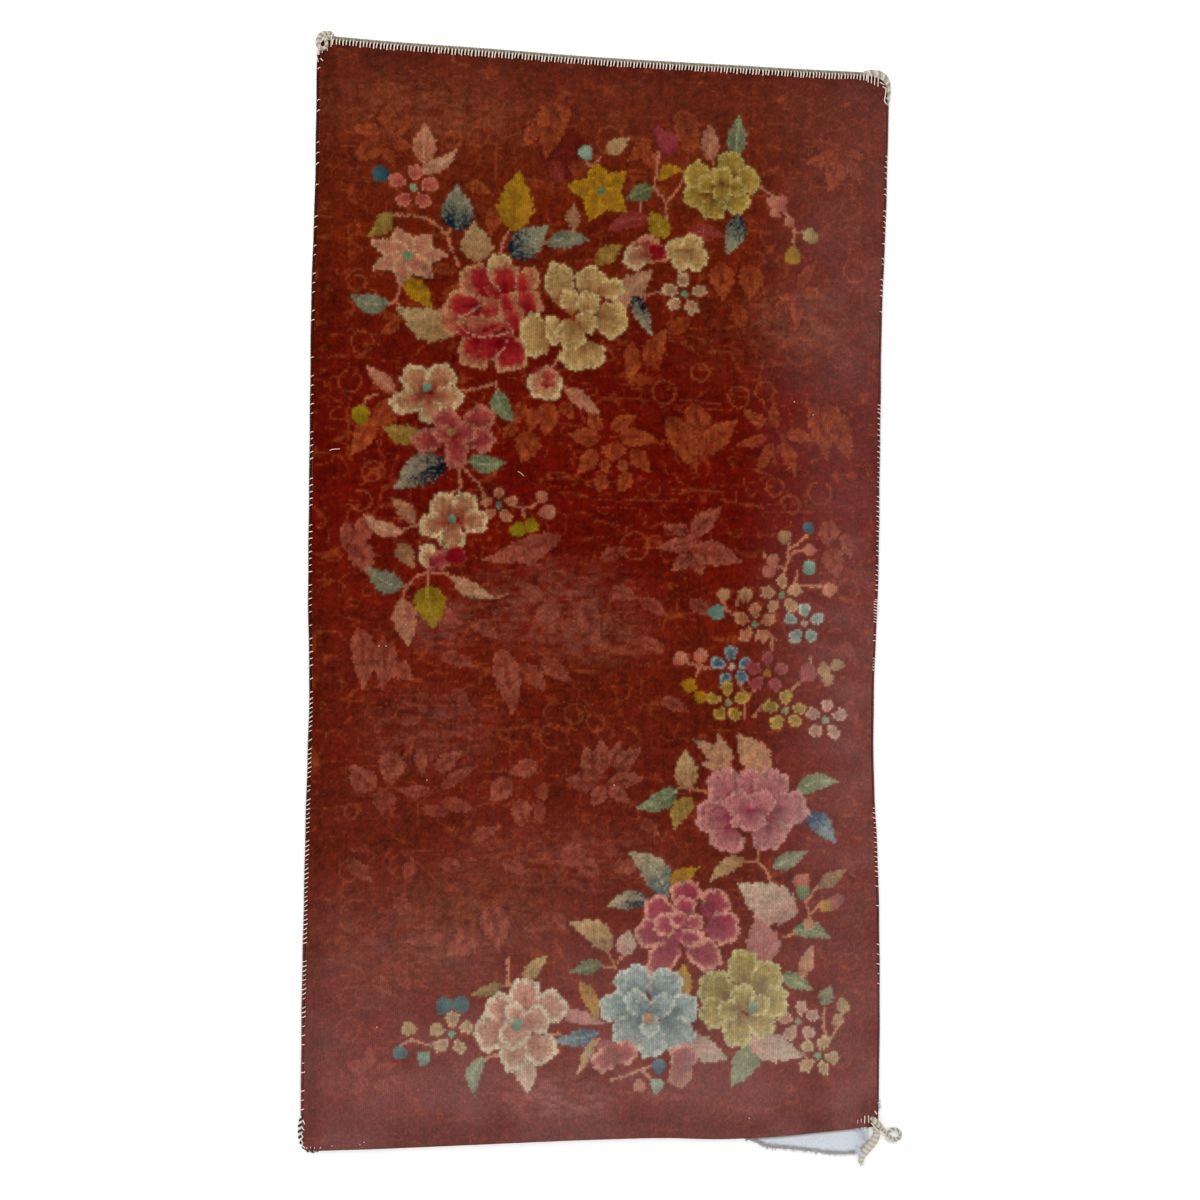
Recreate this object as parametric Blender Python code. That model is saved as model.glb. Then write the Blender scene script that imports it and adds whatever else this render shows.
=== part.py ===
"""A hand-knotted wool rug with its cotton web, end cord, side cords and corner plaits.

Metres, +Z up. The rug lies face up: +X is its right side, +Y its top end. Its underside
is on the plane Z = 0, and the origin is the middle of that underside.
"""

import math
from collections import namedtuple

import bpy
import numpy as np

# Driving dimensions.
RUG_WIDTH = 0.914  # 3 ft, side cords included
RUG_LENGTH = 1.700  # 5 ft 7 in, the knotted part
RUG_THICKNESS = 0.0100  # foundation and pile together
SHOULDER_DROP = 0.0026  # how far the pile falls off at its very edge
PILE_WAVE = 0.0003  # unevenness of the sheared surface
WAVES = ((9.0, 4.0), (-5.0, 13.0))  # its two swells, in radians a metre along x and y
SIDE_CORD = 0.0060  # diameter of the overcast side cords
END_CORD = 0.0080  # diameter of the white cord along the top end
WEB_THICKNESS = 0.0014
WEB_WIDTH = 0.0480  # from the last row of knots to the cut warps
WEB_REACH = 0.4400  # the web's two ends lie this far from the middle
FOLD_RADIUS = 0.0009  # of the web's middle line where it turns under
WEB_STUB = 0.0005  # straight web before the fold where it is fully tucked under
WEB_TURN = 0.0010  # least width of web that turns under at its open end
WEB_SAG = 0.0015  # how far a wide stretch of opened web sinks to the floor
WEB_SAG_WIDTH = 0.025  # unsupported width that lets it sink that far
WEB_REST = 0.0040  # the sunk stretch ends this far short of the part that lies double
TUCK_LIFT = WEB_THICKNESS + 0.0004  # the rug's lower end rides on the tucked web
TUCK_FLAT = WEB_WIDTH + 0.004  # depth of the lifted stretch
TUCK_RAMP = 0.080  # length over which the underside comes down to the floor
CORNER_RADIUS = {"tl": 0.010, "tr": 0.016, "bl": 0.008, "br": 0.008}
GAP = 0.0003  # between neighbouring pieces
SIDE_GAP = 0.0005  # along the edges, where straight faces meet a slowly curving piece
LEFT_CORD_RUN = (-0.8044, 0.8380)  # lower and upper end of the left side cord
RIGHT_CORD_RUN = (-0.8450, 0.8080)
END_CORD_LEFT = -0.4330  # where the end cord meets the left corner's curl
END_CORD_RIGHT = 0.4190  # where it meets the right corner's plait
CORD_LEAD = 0.0040  # straight stretch of a corner piece in line with the end cord
EDGE_STEPS = (0.0, 0.0025, 0.0070, 0.0130, 0.0220)  # grid lines near each edge
COLUMNS_INSIDE = 14
ROWS_INSIDE = 30
SHOULDER_SHARES = (1.0, 0.25)  # of SHOULDER_DROP, at the first grid lines from the edge
ROUTE_STEP = 0.0026  # between the rings of a corner piece
CORD_RINGS = 44  # along a side or end cord
TUCKED_RINGS = 12  # across the tucked part of the web, and across its open wedge
OPENED_RINGS = 22
WEB_LINE_POINTS = 7  # along the web's upper run, and round its fold
EDGE_CORD_SIDES = 2  # bevel resolution of the side and end cords
CORNER_SIDES = 3  # and of the corner pieces
SHARP_ANGLE = math.radians(50)
WOOL_ROUGHNESS = 0.95
COTTON_ROUGHNESS = 0.90

# Outer faces of the side cords, at heights up the rug.
SideRow = namedtuple("SideRow", "y left right")
SIDES = (
    SideRow(-0.855, -0.458, 0.456),
    SideRow(-0.640, -0.459, 0.457),
    SideRow(-0.430, -0.458, 0.452),
    SideRow(-0.250, -0.456, 0.443),
    SideRow(-0.150, -0.455, 0.443),
    SideRow(0.000, -0.459, 0.448),
    SideRow(0.215, -0.460, 0.450),
    SideRow(0.430, -0.461, 0.451),
    SideRow(0.640, -0.458, 0.457),
    SideRow(0.855, -0.458, 0.461),
)

# Outer face of the end cord, and the lower end of the pile, across the rug.
EndRow = namedtuple("EndRow", "x top bottom")
ENDS = (
    EndRow(-0.460, 0.861, -0.8535),
    EndRow(-0.345, 0.8580, -0.8540),
    EndRow(-0.190, 0.8567, -0.8530),
    EndRow(-0.030, 0.8542, -0.8520),
    EndRow(0.110, 0.8548, -0.8535),
    EndRow(0.200, 0.8555, -0.8585),
    EndRow(0.280, 0.8558, -0.8575),
    EndRow(0.360, 0.8568, -0.8530),
    EndRow(0.460, 0.8580, -0.8465),
)

# How far the web shows below the pile: it is tucked under up to the first row.
WebRow = namedtuple("WebRow", "x shows")
WEB_SHOWS = (
    WebRow(0.205, 0.000),
    WebRow(0.240, 0.005),
    WebRow(0.275, 0.020),
    WebRow(0.308, 0.025),
    WebRow(0.341, 0.032),
    WebRow(0.374, 0.039),
    WebRow(0.405, 0.043),
    WebRow(0.424, 0.042),
    WebRow(WEB_REACH, 0.034),
)

# Routes of the corner pieces: middle line and radius.
RoutePoint = namedtuple("RoutePoint", "x y z radius")
CURL_TOP_LEFT = (
    RoutePoint(-0.4450, 0.8615, 0.0050, 0.0044),
    RoutePoint(-0.4545, 0.8590, 0.0062, 0.0044),
    RoutePoint(-0.4590, 0.8490, 0.0085, 0.0042),
    RoutePoint(-0.4580, 0.8370, 0.0125, 0.0038),
    RoutePoint(-0.4505, 0.8295, 0.0145, 0.0035),
    RoutePoint(-0.4420, 0.8330, 0.0140, 0.0033),
    RoutePoint(-0.4395, 0.8410, 0.0138, 0.0031),
    RoutePoint(-0.4440, 0.8470, 0.0136, 0.0029),
    RoutePoint(-0.4500, 0.8440, 0.0134, 0.0027),
)
PLAIT_TOP_RIGHT = (
    RoutePoint(0.4320, 0.8560, 0.0056, 0.0052),
    RoutePoint(0.4450, 0.8545, 0.0060, 0.0056),
    RoutePoint(0.4550, 0.8475, 0.0058, 0.0052),
    RoutePoint(0.4594, 0.8360, 0.0046, 0.0042),
    RoutePoint(0.4586, 0.8230, 0.0036, 0.0032),
    RoutePoint(0.4574, 0.8090, 0.0028, 0.0025),
)
PLAIT_BOTTOM_LEFT = (
    RoutePoint(-0.4562, -0.8050, 0.0036, 0.0032),
    RoutePoint(-0.4568, -0.8180, 0.0042, 0.0040),
    RoutePoint(-0.4570, -0.8320, 0.0042, 0.0040),
    RoutePoint(-0.4562, -0.8440, 0.0036, 0.0034),
    RoutePoint(-0.4538, -0.8520, 0.0028, 0.0024),
)
LOOP_BOTTOM_RIGHT = (
    RoutePoint(0.4400, -0.8330, 0.0154, 0.0030),
    RoutePoint(0.4470, -0.8400, 0.0154, 0.0032),
    RoutePoint(0.4550, -0.8480, 0.0130, 0.0032),
    RoutePoint(0.4630, -0.8570, 0.0070, 0.0030),
    RoutePoint(0.4710, -0.8650, 0.0036, 0.0030),
    RoutePoint(0.4810, -0.8705, 0.0034, 0.0030),
    RoutePoint(0.4900, -0.8670, 0.0033, 0.0029),
    RoutePoint(0.4915, -0.8590, 0.0032, 0.0028),
    RoutePoint(0.4850, -0.8540, 0.0031, 0.0027),
    RoutePoint(0.4775, -0.8565, 0.0030, 0.0026),
)
TASSEL_BOTTOM_RIGHT = (
    RoutePoint(0.4446, -0.8481, 0.0050, 0.0036),
    RoutePoint(0.4525, -0.8600, 0.0056, 0.0048),
    RoutePoint(0.4525, -0.8720, 0.0076, 0.0055),
    RoutePoint(0.4440, -0.8800, 0.0087, 0.0055),
    RoutePoint(0.4350, -0.8860, 0.0087, 0.0054),
    RoutePoint(0.4290, -0.8950, 0.0074, 0.0044),
    RoutePoint(0.4295, -0.9040, 0.0042, 0.0036),
    RoutePoint(0.4310, -0.9110, 0.0028, 0.0024),
)

# Colours, linear red, green, blue.
RUST_WOOL = (0.13, 0.022, 0.010)
RUST_YARN = (0.10, 0.025, 0.018)
COTTON = (0.62, 0.56, 0.46)
COTTON_WEB = (0.66, 0.66, 0.66)


def clear_scene():
    for obj in list(bpy.data.objects):
        bpy.data.objects.remove(obj)


def fabric(name, colour, roughness):
    """A plain cloth finish in one colour."""
    material = bpy.data.materials.new(name)
    material.use_nodes = True
    shader = material.node_tree.nodes["Principled BSDF"]
    shader.inputs["Base Color"].default_value = (*colour, 1.0)
    shader.inputs["Roughness"].default_value = roughness
    shader.inputs["Metallic"].default_value = 0.0
    return material


def smooth_through(knots, values, at):
    """A cubic curve through the table's values, flat beyond its ends."""
    knots = np.asarray(knots, float)
    values = np.asarray(values, float)
    at = np.clip(np.asarray(at, float), knots[0], knots[-1])
    slopes = np.gradient(values, knots)
    i = np.clip(np.searchsorted(knots, at, side="right") - 1, 0, len(knots) - 2)
    step = knots[i + 1] - knots[i]
    t = (at - knots[i]) / step
    start = (1 + 2 * t) * (1 - t) ** 2 * values[i] + t * (1 - t) ** 2 * step * slopes[i]
    end = t * t * (3 - 2 * t) * values[i + 1] + t * t * (t - 1) * step * slopes[i + 1]
    return start + end


def outer_left(y):
    return smooth_through([row.y for row in SIDES], [row.left for row in SIDES], y)


def outer_right(y):
    return smooth_through([row.y for row in SIDES], [row.right for row in SIDES], y)


def outer_top(x):
    return smooth_through([row.x for row in ENDS], [row.top for row in ENDS], x)


def pile_bottom(x):
    return smooth_through([row.x for row in ENDS], [row.bottom for row in ENDS], x)


def web_shows(x):
    """Width of web that shows below the pile at x."""
    table_x = [row.x for row in WEB_SHOWS]
    shows = smooth_through(table_x, [row.shows for row in WEB_SHOWS], x)
    return np.where(np.asarray(x) <= table_x[0], 0.0, np.maximum(shows, 0.0))


def end_lift(y, x):
    """Height of the rug's underside, which rides on the web that is tucked under its lower end."""
    from_end = y - pile_bottom(x)
    t = np.clip((from_end - TUCK_FLAT) / TUCK_RAMP, 0.0, 1.0)
    return TUCK_LIFT * 0.5 * (1.0 + np.cos(math.pi * t))


def grid_lines(low, high, count):
    """Lines from low to high, close together near both edges."""
    near = [low + step for step in EDGE_STEPS]
    far = [high - step for step in reversed(EDGE_STEPS)]
    inside = np.linspace(near[-1], far[0], count + 2)[1:-1]
    return np.concatenate([near, inside, far])


def round_corner(x, y, corner_x, corner_y, radius):
    """Bends the square corner of the grid onto an arc, without moving what lies further in."""
    toward_x = np.sign(corner_x)
    toward_y = np.sign(corner_y)
    a = (x - (corner_x - toward_x * radius)) * toward_x
    b = (y - (corner_y - toward_y * radius)) * toward_y
    inside = (a > 0) & (b > 0)
    a_unit = np.clip(a / radius, 0.0, 1.0)
    b_unit = np.clip(b / radius, 0.0, 1.0)
    bent_a = a * np.sqrt(1.0 - 0.5 * b_unit**2)
    bent_b = b * np.sqrt(1.0 - 0.5 * a_unit**2)
    x = np.where(inside, x + (bent_a - a) * toward_x, x)
    y = np.where(inside, y + (bent_b - b) * toward_y, y)
    return x, y


def rug_grid():
    """Grid of plan positions for the rug's body: arrays of x and y, rows up the rug."""
    inset = SIDE_CORD + SIDE_GAP
    rows = grid_lines(0.0, RUG_LENGTH, ROWS_INSIDE) / RUG_LENGTH
    columns = grid_lines(0.0, RUG_WIDTH, COLUMNS_INSIDE) / RUG_WIDTH
    v, u = np.meshgrid(rows, columns, indexing="ij")
    y = (v - 0.5) * RUG_LENGTH
    for _ in range(3):  # the sides depend on y and the ends on x, so each is worked out again
        left = outer_left(y) + inset
        right = outer_right(y) - inset
        x = left + u * (right - left)
        low = pile_bottom(x)
        high = outer_top(x) - END_CORD - SIDE_GAP
        y = low + v * (high - low)
    for name, row, column in (("bl", 0, 0), ("br", 0, -1), ("tl", -1, 0), ("tr", -1, -1)):
        x, y = round_corner(x, y, x[row, column], y[row, column], CORNER_RADIUS[name])
    return x, y


def shoulder(count):
    """How far the pile has fallen at each of count lines across, 1 at the edge and 0 inside."""
    profile = np.zeros(count)
    for i, share in enumerate(SHOULDER_SHARES):
        profile[i] = share
        profile[count - 1 - i] = share
    return profile


def rug_heights(x, y):
    """Top and underside of the rug's body over its grid."""
    under = end_lift(y, x)
    wave = PILE_WAVE * sum(np.sin(along_x * x + along_y * y) for along_x, along_y in WAVES)
    fall = np.maximum.outer(shoulder(x.shape[0]), shoulder(x.shape[1]))
    top = under + RUG_THICKNESS - SHOULDER_DROP * fall + wave * (1.0 - fall)
    return top, under


def closed_sheet(x, y, top, under):
    """Vertices and faces of the closed body between two height fields over one grid."""
    rows, columns = x.shape
    upper = np.stack([x, y, top], axis=-1).reshape(-1, 3)
    lower = np.stack([x, y, under], axis=-1).reshape(-1, 3)
    count = rows * columns
    faces = []
    for i in range(rows - 1):
        for j in range(columns - 1):
            a = i * columns + j
            quad = (a, a + 1, a + 1 + columns, a + columns)
            faces.append(quad)
            faces.append(tuple(count + k for k in reversed(quad)))
    rim = list(range(columns))
    rim += [i * columns + columns - 1 for i in range(1, rows)]
    rim += [(rows - 1) * columns + j for j in range(columns - 2, -1, -1)]
    rim += [i * columns for i in range(rows - 2, 0, -1)]
    for a, b in zip(rim, rim[1:] + rim[:1]):
        faces.append((count + a, count + b, b, a))
    return np.concatenate([upper, lower]), faces


def add_mesh(name, points, faces, material):
    mesh = bpy.data.meshes.new(name)
    mesh.from_pydata([tuple(map(float, p)) for p in points], [], faces)
    mesh.update()
    mesh.shade_smooth()
    mesh.set_sharp_from_angle(angle=SHARP_ANGLE)
    mesh.materials.append(material)
    obj = bpy.data.objects.new(name, mesh)
    bpy.context.scene.collection.objects.link(obj)
    return obj


def make_rug(material):
    x, y = rug_grid()
    top, under = rug_heights(x, y)
    points, faces = closed_sheet(x, y, top, under)
    return add_mesh("rug_pile", points, faces, material)


def catmull_rom(points, spacing):
    """Rows about spacing apart on a smooth curve through the given ones, each with its own radius."""
    points = np.asarray(points, float)
    padded = np.concatenate([[2 * points[0] - points[1]], points, [2 * points[-1] - points[-2]]])
    found = []
    for p0, p1, p2, p3 in zip(padded, padded[1:], padded[2:], padded[3:]):
        steps = max(1, int(round(np.linalg.norm((p2 - p1)[:3]) / spacing)))
        for t in np.arange(steps) / steps:
            found.append(
                0.5
                * (
                    2 * p1
                    + (p2 - p0) * t
                    + (2 * p0 - 5 * p1 + 4 * p2 - p3) * t**2
                    + (3 * p1 - p0 - 3 * p2 + p3) * t**3
                )
            )
    found.append(points[-1])
    return np.array(found)


def add_cord(name, rows, material, bevel_resolution):
    """A round cord along rows of x, y, z and radius. Its bevel is a unit deep, so the radius is its size."""
    curve = bpy.data.curves.new(name, "CURVE")
    curve.dimensions = "3D"
    curve.bevel_depth = 1.0
    curve.bevel_resolution = bevel_resolution
    curve.use_fill_caps = True
    spline = curve.splines.new("POLY")
    spline.points.add(len(rows) - 1)
    for target, (x, y, z, radius) in zip(spline.points, rows.tolist()):
        target.co = (x, y, z, 1.0)
        target.radius = radius
    curve.materials.append(material)
    obj = bpy.data.objects.new(name, curve)
    bpy.context.scene.collection.objects.link(obj)
    return obj


def make_side_cord(name, outer, toward_middle, run, material):
    """An overcast cord that follows one side of the rug, lying on the floor."""
    y = np.linspace(run[0], run[1], CORD_RINGS)
    radius = np.full_like(y, SIDE_CORD / 2)
    x = outer(y) + toward_middle * radius
    return add_cord(name, np.stack([x, y, radius, radius], axis=1), material, EDGE_CORD_SIDES)


def end_cord_rows(x):
    """Middle line and radius of the top end's cord at x, as rows of x, y, z and radius."""
    x = np.atleast_1d(np.asarray(x, float))
    radius = np.full_like(x, END_CORD / 2)
    return np.stack([x, outer_top(x) - radius, radius, radius], axis=1)


def make_end_cord(material):
    """The white cord whipped along the top end, between its two corner pieces."""
    rows = end_cord_rows(np.linspace(END_CORD_LEFT, END_CORD_RIGHT, CORD_RINGS))
    return add_cord("end_cord_top", rows, material, EDGE_CORD_SIDES)


def lead_from_end_cord(end_x, away):
    """Rows in line with the end cord, from a gap past its end at end_x, to start a corner piece."""
    steps = GAP + CORD_LEAD * np.array([0.0, 0.4, 0.7, 1.0])
    return end_cord_rows(end_x + away * steps)


def make_route_cord(name, route, material, lead=()):
    """A corner piece along its lead and route, its radius changing from point to point."""
    return add_cord(name, catmull_rom([*lead, *route], ROUTE_STEP), material, CORNER_SIDES)


def web_middle_line(x):
    """Middle line of the web's section at x, as y and z from its root to its cut edge."""
    shows = float(web_shows(x))
    root_y = float(pile_bottom(x)) - SIDE_GAP
    upper_z = TUCK_LIFT + WEB_THICKNESS / 2
    lower_z = upper_z - 2 * FOLD_RADIUS
    out = max(WEB_STUB, shows - SIDE_GAP - FOLD_RADIUS - WEB_THICKNESS / 2)
    back = max(WEB_TURN, WEB_WIDTH - out - math.pi * FOLD_RADIUS)
    free = max(0.0, out - back - WEB_REST)
    sag = WEB_SAG * min(1.0, free / WEB_SAG_WIDTH)
    line = []
    for along in np.linspace(0.0, out, WEB_LINE_POINTS):
        dip = sag * math.sin(math.pi * min(1.0, along / free)) ** 2 if free > 0 else 0.0
        line.append((root_y - along, upper_z - dip))
    for angle in np.linspace(0.0, math.pi, WEB_LINE_POINTS)[1:]:
        fold_y = root_y - out - FOLD_RADIUS * math.sin(angle)
        fold_z = upper_z - FOLD_RADIUS + FOLD_RADIUS * math.cos(angle)
        line.append((fold_y, fold_z))
    for under in np.linspace(0.0, back, 4)[1:]:
        line.append((root_y - out + under, lower_z))
    return np.array(line)


def offset_line(line, distance):
    """The line moved sideways by distance, to its left."""
    tangent = np.gradient(line, axis=0)
    tangent /= np.linalg.norm(tangent, axis=1)[:, None]
    return line + distance * np.stack([-tangent[:, 1], tangent[:, 0]], axis=1)


def make_web(material):
    """The cotton web below the last row of knots: tucked under the rug, and open at the right corner."""
    tucked = np.linspace(-WEB_REACH, WEB_SHOWS[0].x, TUCKED_RINGS)
    opened = np.linspace(WEB_SHOWS[0].x, WEB_REACH, OPENED_RINGS)[1:]
    rings = []
    for x in np.concatenate([tucked, opened]):
        line = web_middle_line(x)
        one_face = offset_line(line, WEB_THICKNESS / 2)
        other_face = offset_line(line, -WEB_THICKNESS / 2)
        ring = np.concatenate([one_face, other_face[::-1]])
        ring[:, 1] = np.maximum(ring[:, 1], 0.0)
        rings.append(np.column_stack([np.full(len(ring), x), ring]))
    around = len(rings[0])
    faces = []
    for i in range(len(rings) - 1):
        for j in range(around):
            k = (j + 1) % around
            near = i * around
            far = near + around
            faces.append((near + k, near + j, far + j, far + k))
    last = (len(rings) - 1) * around
    for j in range(around // 2 - 1):
        opposite = around - 1 - j
        faces.append((j, j + 1, opposite - 1, opposite))
        faces.append((last + j + 1, last + j, last + opposite, last + opposite - 1))
    return add_mesh("end_web", np.concatenate(rings), faces, material)


def main():
    clear_scene()
    wool = fabric("rust wool pile", RUST_WOOL, WOOL_ROUGHNESS)
    yarn = fabric("rust edge yarn", RUST_YARN, WOOL_ROUGHNESS)
    cotton = fabric("white cotton cord", COTTON, COTTON_ROUGHNESS)
    web_cotton = fabric("undyed cotton web", COTTON_WEB, COTTON_ROUGHNESS)
    make_rug(wool)
    make_side_cord("side_cord_left", outer_left, 1, LEFT_CORD_RUN, yarn)
    make_side_cord("side_cord_right", outer_right, -1, RIGHT_CORD_RUN, yarn)
    make_end_cord(cotton)
    make_web(web_cotton)
    make_route_cord("curl_top_left", CURL_TOP_LEFT, cotton, lead_from_end_cord(END_CORD_LEFT, -1))
    make_route_cord("plait_top_right", PLAIT_TOP_RIGHT, cotton, lead_from_end_cord(END_CORD_RIGHT, 1))
    make_route_cord("plait_bottom_left", PLAIT_BOTTOM_LEFT, cotton)
    make_route_cord("loop_bottom_right", LOOP_BOTTOM_RIGHT, cotton)
    make_route_cord("tassel_bottom_right", TASSEL_BOTTOM_RIGHT, cotton)


main()
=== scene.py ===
# %% [markdown]
# # A hand-knotted art deco rug
#
# The rug is wool pile on a cotton foundation, about 0.91 by 1.70 m. It has overcast cords down
# both sides, a white cord whipped along the top end, small plaits at the corners, and a strip of
# cotton web that has come loose at the lower right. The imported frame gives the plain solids. Here
# each one gets its real surface: about 160,000 knots, each one quad of the pile in its own wool,
# and yarns, stitches and plaits that follow the edges.

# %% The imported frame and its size
import math
from collections import namedtuple

import bpy
import numpy as np
from mathutils import Matrix, Vector


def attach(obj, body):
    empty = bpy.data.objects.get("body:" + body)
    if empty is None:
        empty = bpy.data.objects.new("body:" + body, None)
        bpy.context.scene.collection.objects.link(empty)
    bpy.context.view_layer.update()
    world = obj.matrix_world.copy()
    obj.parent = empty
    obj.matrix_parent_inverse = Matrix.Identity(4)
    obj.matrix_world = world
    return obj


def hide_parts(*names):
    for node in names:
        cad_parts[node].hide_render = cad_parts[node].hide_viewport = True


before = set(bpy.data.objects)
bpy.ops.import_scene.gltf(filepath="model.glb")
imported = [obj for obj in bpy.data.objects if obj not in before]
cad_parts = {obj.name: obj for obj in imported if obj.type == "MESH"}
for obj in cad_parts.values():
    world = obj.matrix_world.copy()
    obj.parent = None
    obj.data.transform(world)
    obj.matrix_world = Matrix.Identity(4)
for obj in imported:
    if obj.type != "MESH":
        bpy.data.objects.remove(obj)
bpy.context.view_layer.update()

# %% [markdown]
# ## The camera
#
# The photo looks almost straight down at the rug from about two metres up, a little to its left,
# so the left side looks longer than the right. A camera could be turned by trial until the rug's
# corners agree. Here its place and axes were worked out once from the four corners, and they are
# kept as plain numbers, because every motif below is put on the rug through this same camera.

# %% The camera that the photo was taken with
PHOTO_SIZE = 1200
CAMERA_PLACE = Vector((-0.2537, -0.0419, 2.0412))
LOOK = Vector((0.1206, 0.0165, -0.9926)).normalized()
PHOTO_RIGHT = Vector((0.9926, 0.0118, 0.1208))
PHOTO_RIGHT = (PHOTO_RIGHT - LOOK * PHOTO_RIGHT.dot(LOOK)).normalized()
PHOTO_UP = PHOTO_RIGHT.cross(LOOK)
PHOTO_MIDDLE = PHOTO_SIZE / 2
LENS_MM = 39.0
SENSOR_MM = 36.0
FOCAL_PIXELS = LENS_MM / SENSOR_MM * PHOTO_SIZE


def add_object(name, data):
    """Puts a camera, a mesh or a lamp in the scene."""
    made = bpy.data.objects.new(name, data)
    bpy.context.scene.collection.objects.link(made)
    return made


camera_data = bpy.data.cameras.new("camera")
camera_data.lens = LENS_MM
camera_data.sensor_width = SENSOR_MM
camera = add_object("camera", camera_data)
turn = Matrix((PHOTO_RIGHT, PHOTO_UP, -LOOK)).transposed().to_4x4()
camera.matrix_world = Matrix.Translation(CAMERA_PLACE) @ turn
bpy.context.scene.camera = camera

PILE_TOP = 0.0105  # height of the pile, where the photo's motifs lie
PIXEL = 0.00156  # what one pixel of the photo spans on the rug


def rug_place(across, down):
    """The point of the pile that a pixel of the photo shows, as x and y in metres."""
    right, up = (across - PHOTO_MIDDLE) / FOCAL_PIXELS, (PHOTO_MIDDLE - down) / FOCAL_PIXELS
    ray = LOOK + PHOTO_RIGHT * right + PHOTO_UP * up
    hit = CAMERA_PLACE + ray * ((PILE_TOP - CAMERA_PLACE.z) / ray.z)
    return np.array([hit.x, hit.y])


print("photo middle on the rug", rug_place(PHOTO_MIDDLE, PHOTO_MIDDLE).round(3))

# %% [markdown]
# ## The outline
#
# A hand-knotted rug is never quite square: its sides wander by several millimetres. Short tables
# of edge positions, joined by a smooth curve, say where. They are the tables of the solid part,
# so that everything made here follows the same edges.

# %% Sizes shared with the solid part
RUG_WIDTH = 0.914
RUG_LENGTH = 1.700
RUG_THICKNESS = 0.0100
SHOULDER_DROP = 0.0026
PILE_WAVE = 0.0003
WAVES = ((9.0, 4.0), (-5.0, 13.0))
SIDE_CORD = 0.0060
END_CORD = 0.0080
WEB_THICKNESS = 0.0014
WEB_WIDTH = 0.0480
WEB_REACH = 0.4400
FOLD_RADIUS = 0.0009
WEB_STUB = 0.0005
WEB_TURN = 0.0010
WEB_SAG = 0.0015
WEB_SAG_WIDTH = 0.025
WEB_REST = 0.0040
TUCK_LIFT = WEB_THICKNESS + 0.0004
TUCK_FLAT = WEB_WIDTH + 0.004
TUCK_RAMP = 0.080
CORNER_RADIUS = {"tl": 0.010, "tr": 0.016, "bl": 0.008, "br": 0.008}
GAP = 0.0003
SIDE_GAP = 0.0005
LEFT_CORD_RUN = (-0.8044, 0.8380)
RIGHT_CORD_RUN = (-0.8450, 0.8080)
END_CORD_LEFT = -0.4330
END_CORD_RIGHT = 0.4190
CORD_LEAD = 0.0040

SideRow = namedtuple("SideRow", "y left right")
SIDES = [SideRow(*row) for row in (
    (-0.855, -0.458, 0.456), (-0.640, -0.459, 0.457), (-0.430, -0.458, 0.452),
    (-0.250, -0.456, 0.443), (-0.150, -0.455, 0.443), (0.000, -0.459, 0.448),
    (0.215, -0.460, 0.450), (0.430, -0.461, 0.451), (0.640, -0.458, 0.457),
    (0.855, -0.458, 0.461),
)]
EndRow = namedtuple("EndRow", "x top bottom")
ENDS = [EndRow(*row) for row in (
    (-0.460, 0.861, -0.8535), (-0.345, 0.8580, -0.8540), (-0.190, 0.8567, -0.8530),
    (-0.030, 0.8542, -0.8520), (0.110, 0.8548, -0.8535), (0.200, 0.8555, -0.8585),
    (0.280, 0.8558, -0.8575), (0.360, 0.8568, -0.8530), (0.460, 0.8580, -0.8465),
)]
WebRow = namedtuple("WebRow", "x shows")
WEB_SHOWS = [WebRow(*row) for row in (
    (0.205, 0.000), (0.240, 0.005), (0.275, 0.020), (0.308, 0.025), (0.341, 0.032),
    (0.374, 0.039), (0.405, 0.043), (0.424, 0.042), (WEB_REACH, 0.034),
)]


def smooth_through(knots, values, at):
    """A cubic curve through the table's values, flat beyond its ends."""
    knots = np.asarray(knots, float)
    values = np.asarray(values, float)
    at = np.clip(np.asarray(at, float), knots[0], knots[-1])
    slopes = np.gradient(values, knots, axis=0)
    i = np.clip(np.searchsorted(knots, at, side="right") - 1, 0, len(knots) - 2)
    step = knots[i + 1] - knots[i]
    t = (at - knots[i]) / step
    start = (1 + 2 * t) * (1 - t) ** 2 * values[i] + t * (1 - t) ** 2 * step * slopes[i]
    end = t * t * (3 - 2 * t) * values[i + 1] + t * t * (t - 1) * step * slopes[i + 1]
    return start + end


def along_table(rows, column, at):
    """A column of a table, as a smooth curve over its first column."""
    return smooth_through([row[0] for row in rows], [getattr(row, column) for row in rows], at)


def outer_left(y):
    return along_table(SIDES, "left", y)


def outer_right(y):
    return along_table(SIDES, "right", y)


def outer_top(x):
    return along_table(ENDS, "top", x)


def pile_bottom(x):
    return along_table(ENDS, "bottom", x)


def end_lift(y, x):
    """Height of the rug's underside, which rides on the web that is tucked under its lower end."""
    t = np.clip((y - pile_bottom(x) - TUCK_FLAT) / TUCK_RAMP, 0.0, 1.0)
    return TUCK_LIFT * 0.5 * (1.0 + np.cos(math.pi * t))


print("sides at the middle", outer_left(0.0).round(4), outer_right(0.0).round(4))

# %% [markdown]
# ## The knots
#
# On the real rug each knot is a tuft of wool about 3 mm square, and the design is simply the
# colour of every tuft. A texture could be painted instead, but then the edges of the motifs would
# be smooth. Making the pile from one quad for each knot gives the stepped edges for nothing, and
# each quad only has to know which wool it is. The grid is bent to the outline, a little uneven,
# and rounded off at the shoulders, where the outer tufts lean out.

# %% A grid of knots, bent to the outline
KNOT = 0.0031
KNOTS_ACROSS = 290
KNOTS_UP = 548
LEAN_OUT = 0.0008  # how far the outer tufts lean over the cords
SHOULDER_WIDTH = 0.0055  # width over which the pile rounds off


def smooth_step(t):
    t = np.clip(t, 0.0, 1.0)
    return t * t * (3.0 - 2.0 * t)


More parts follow.
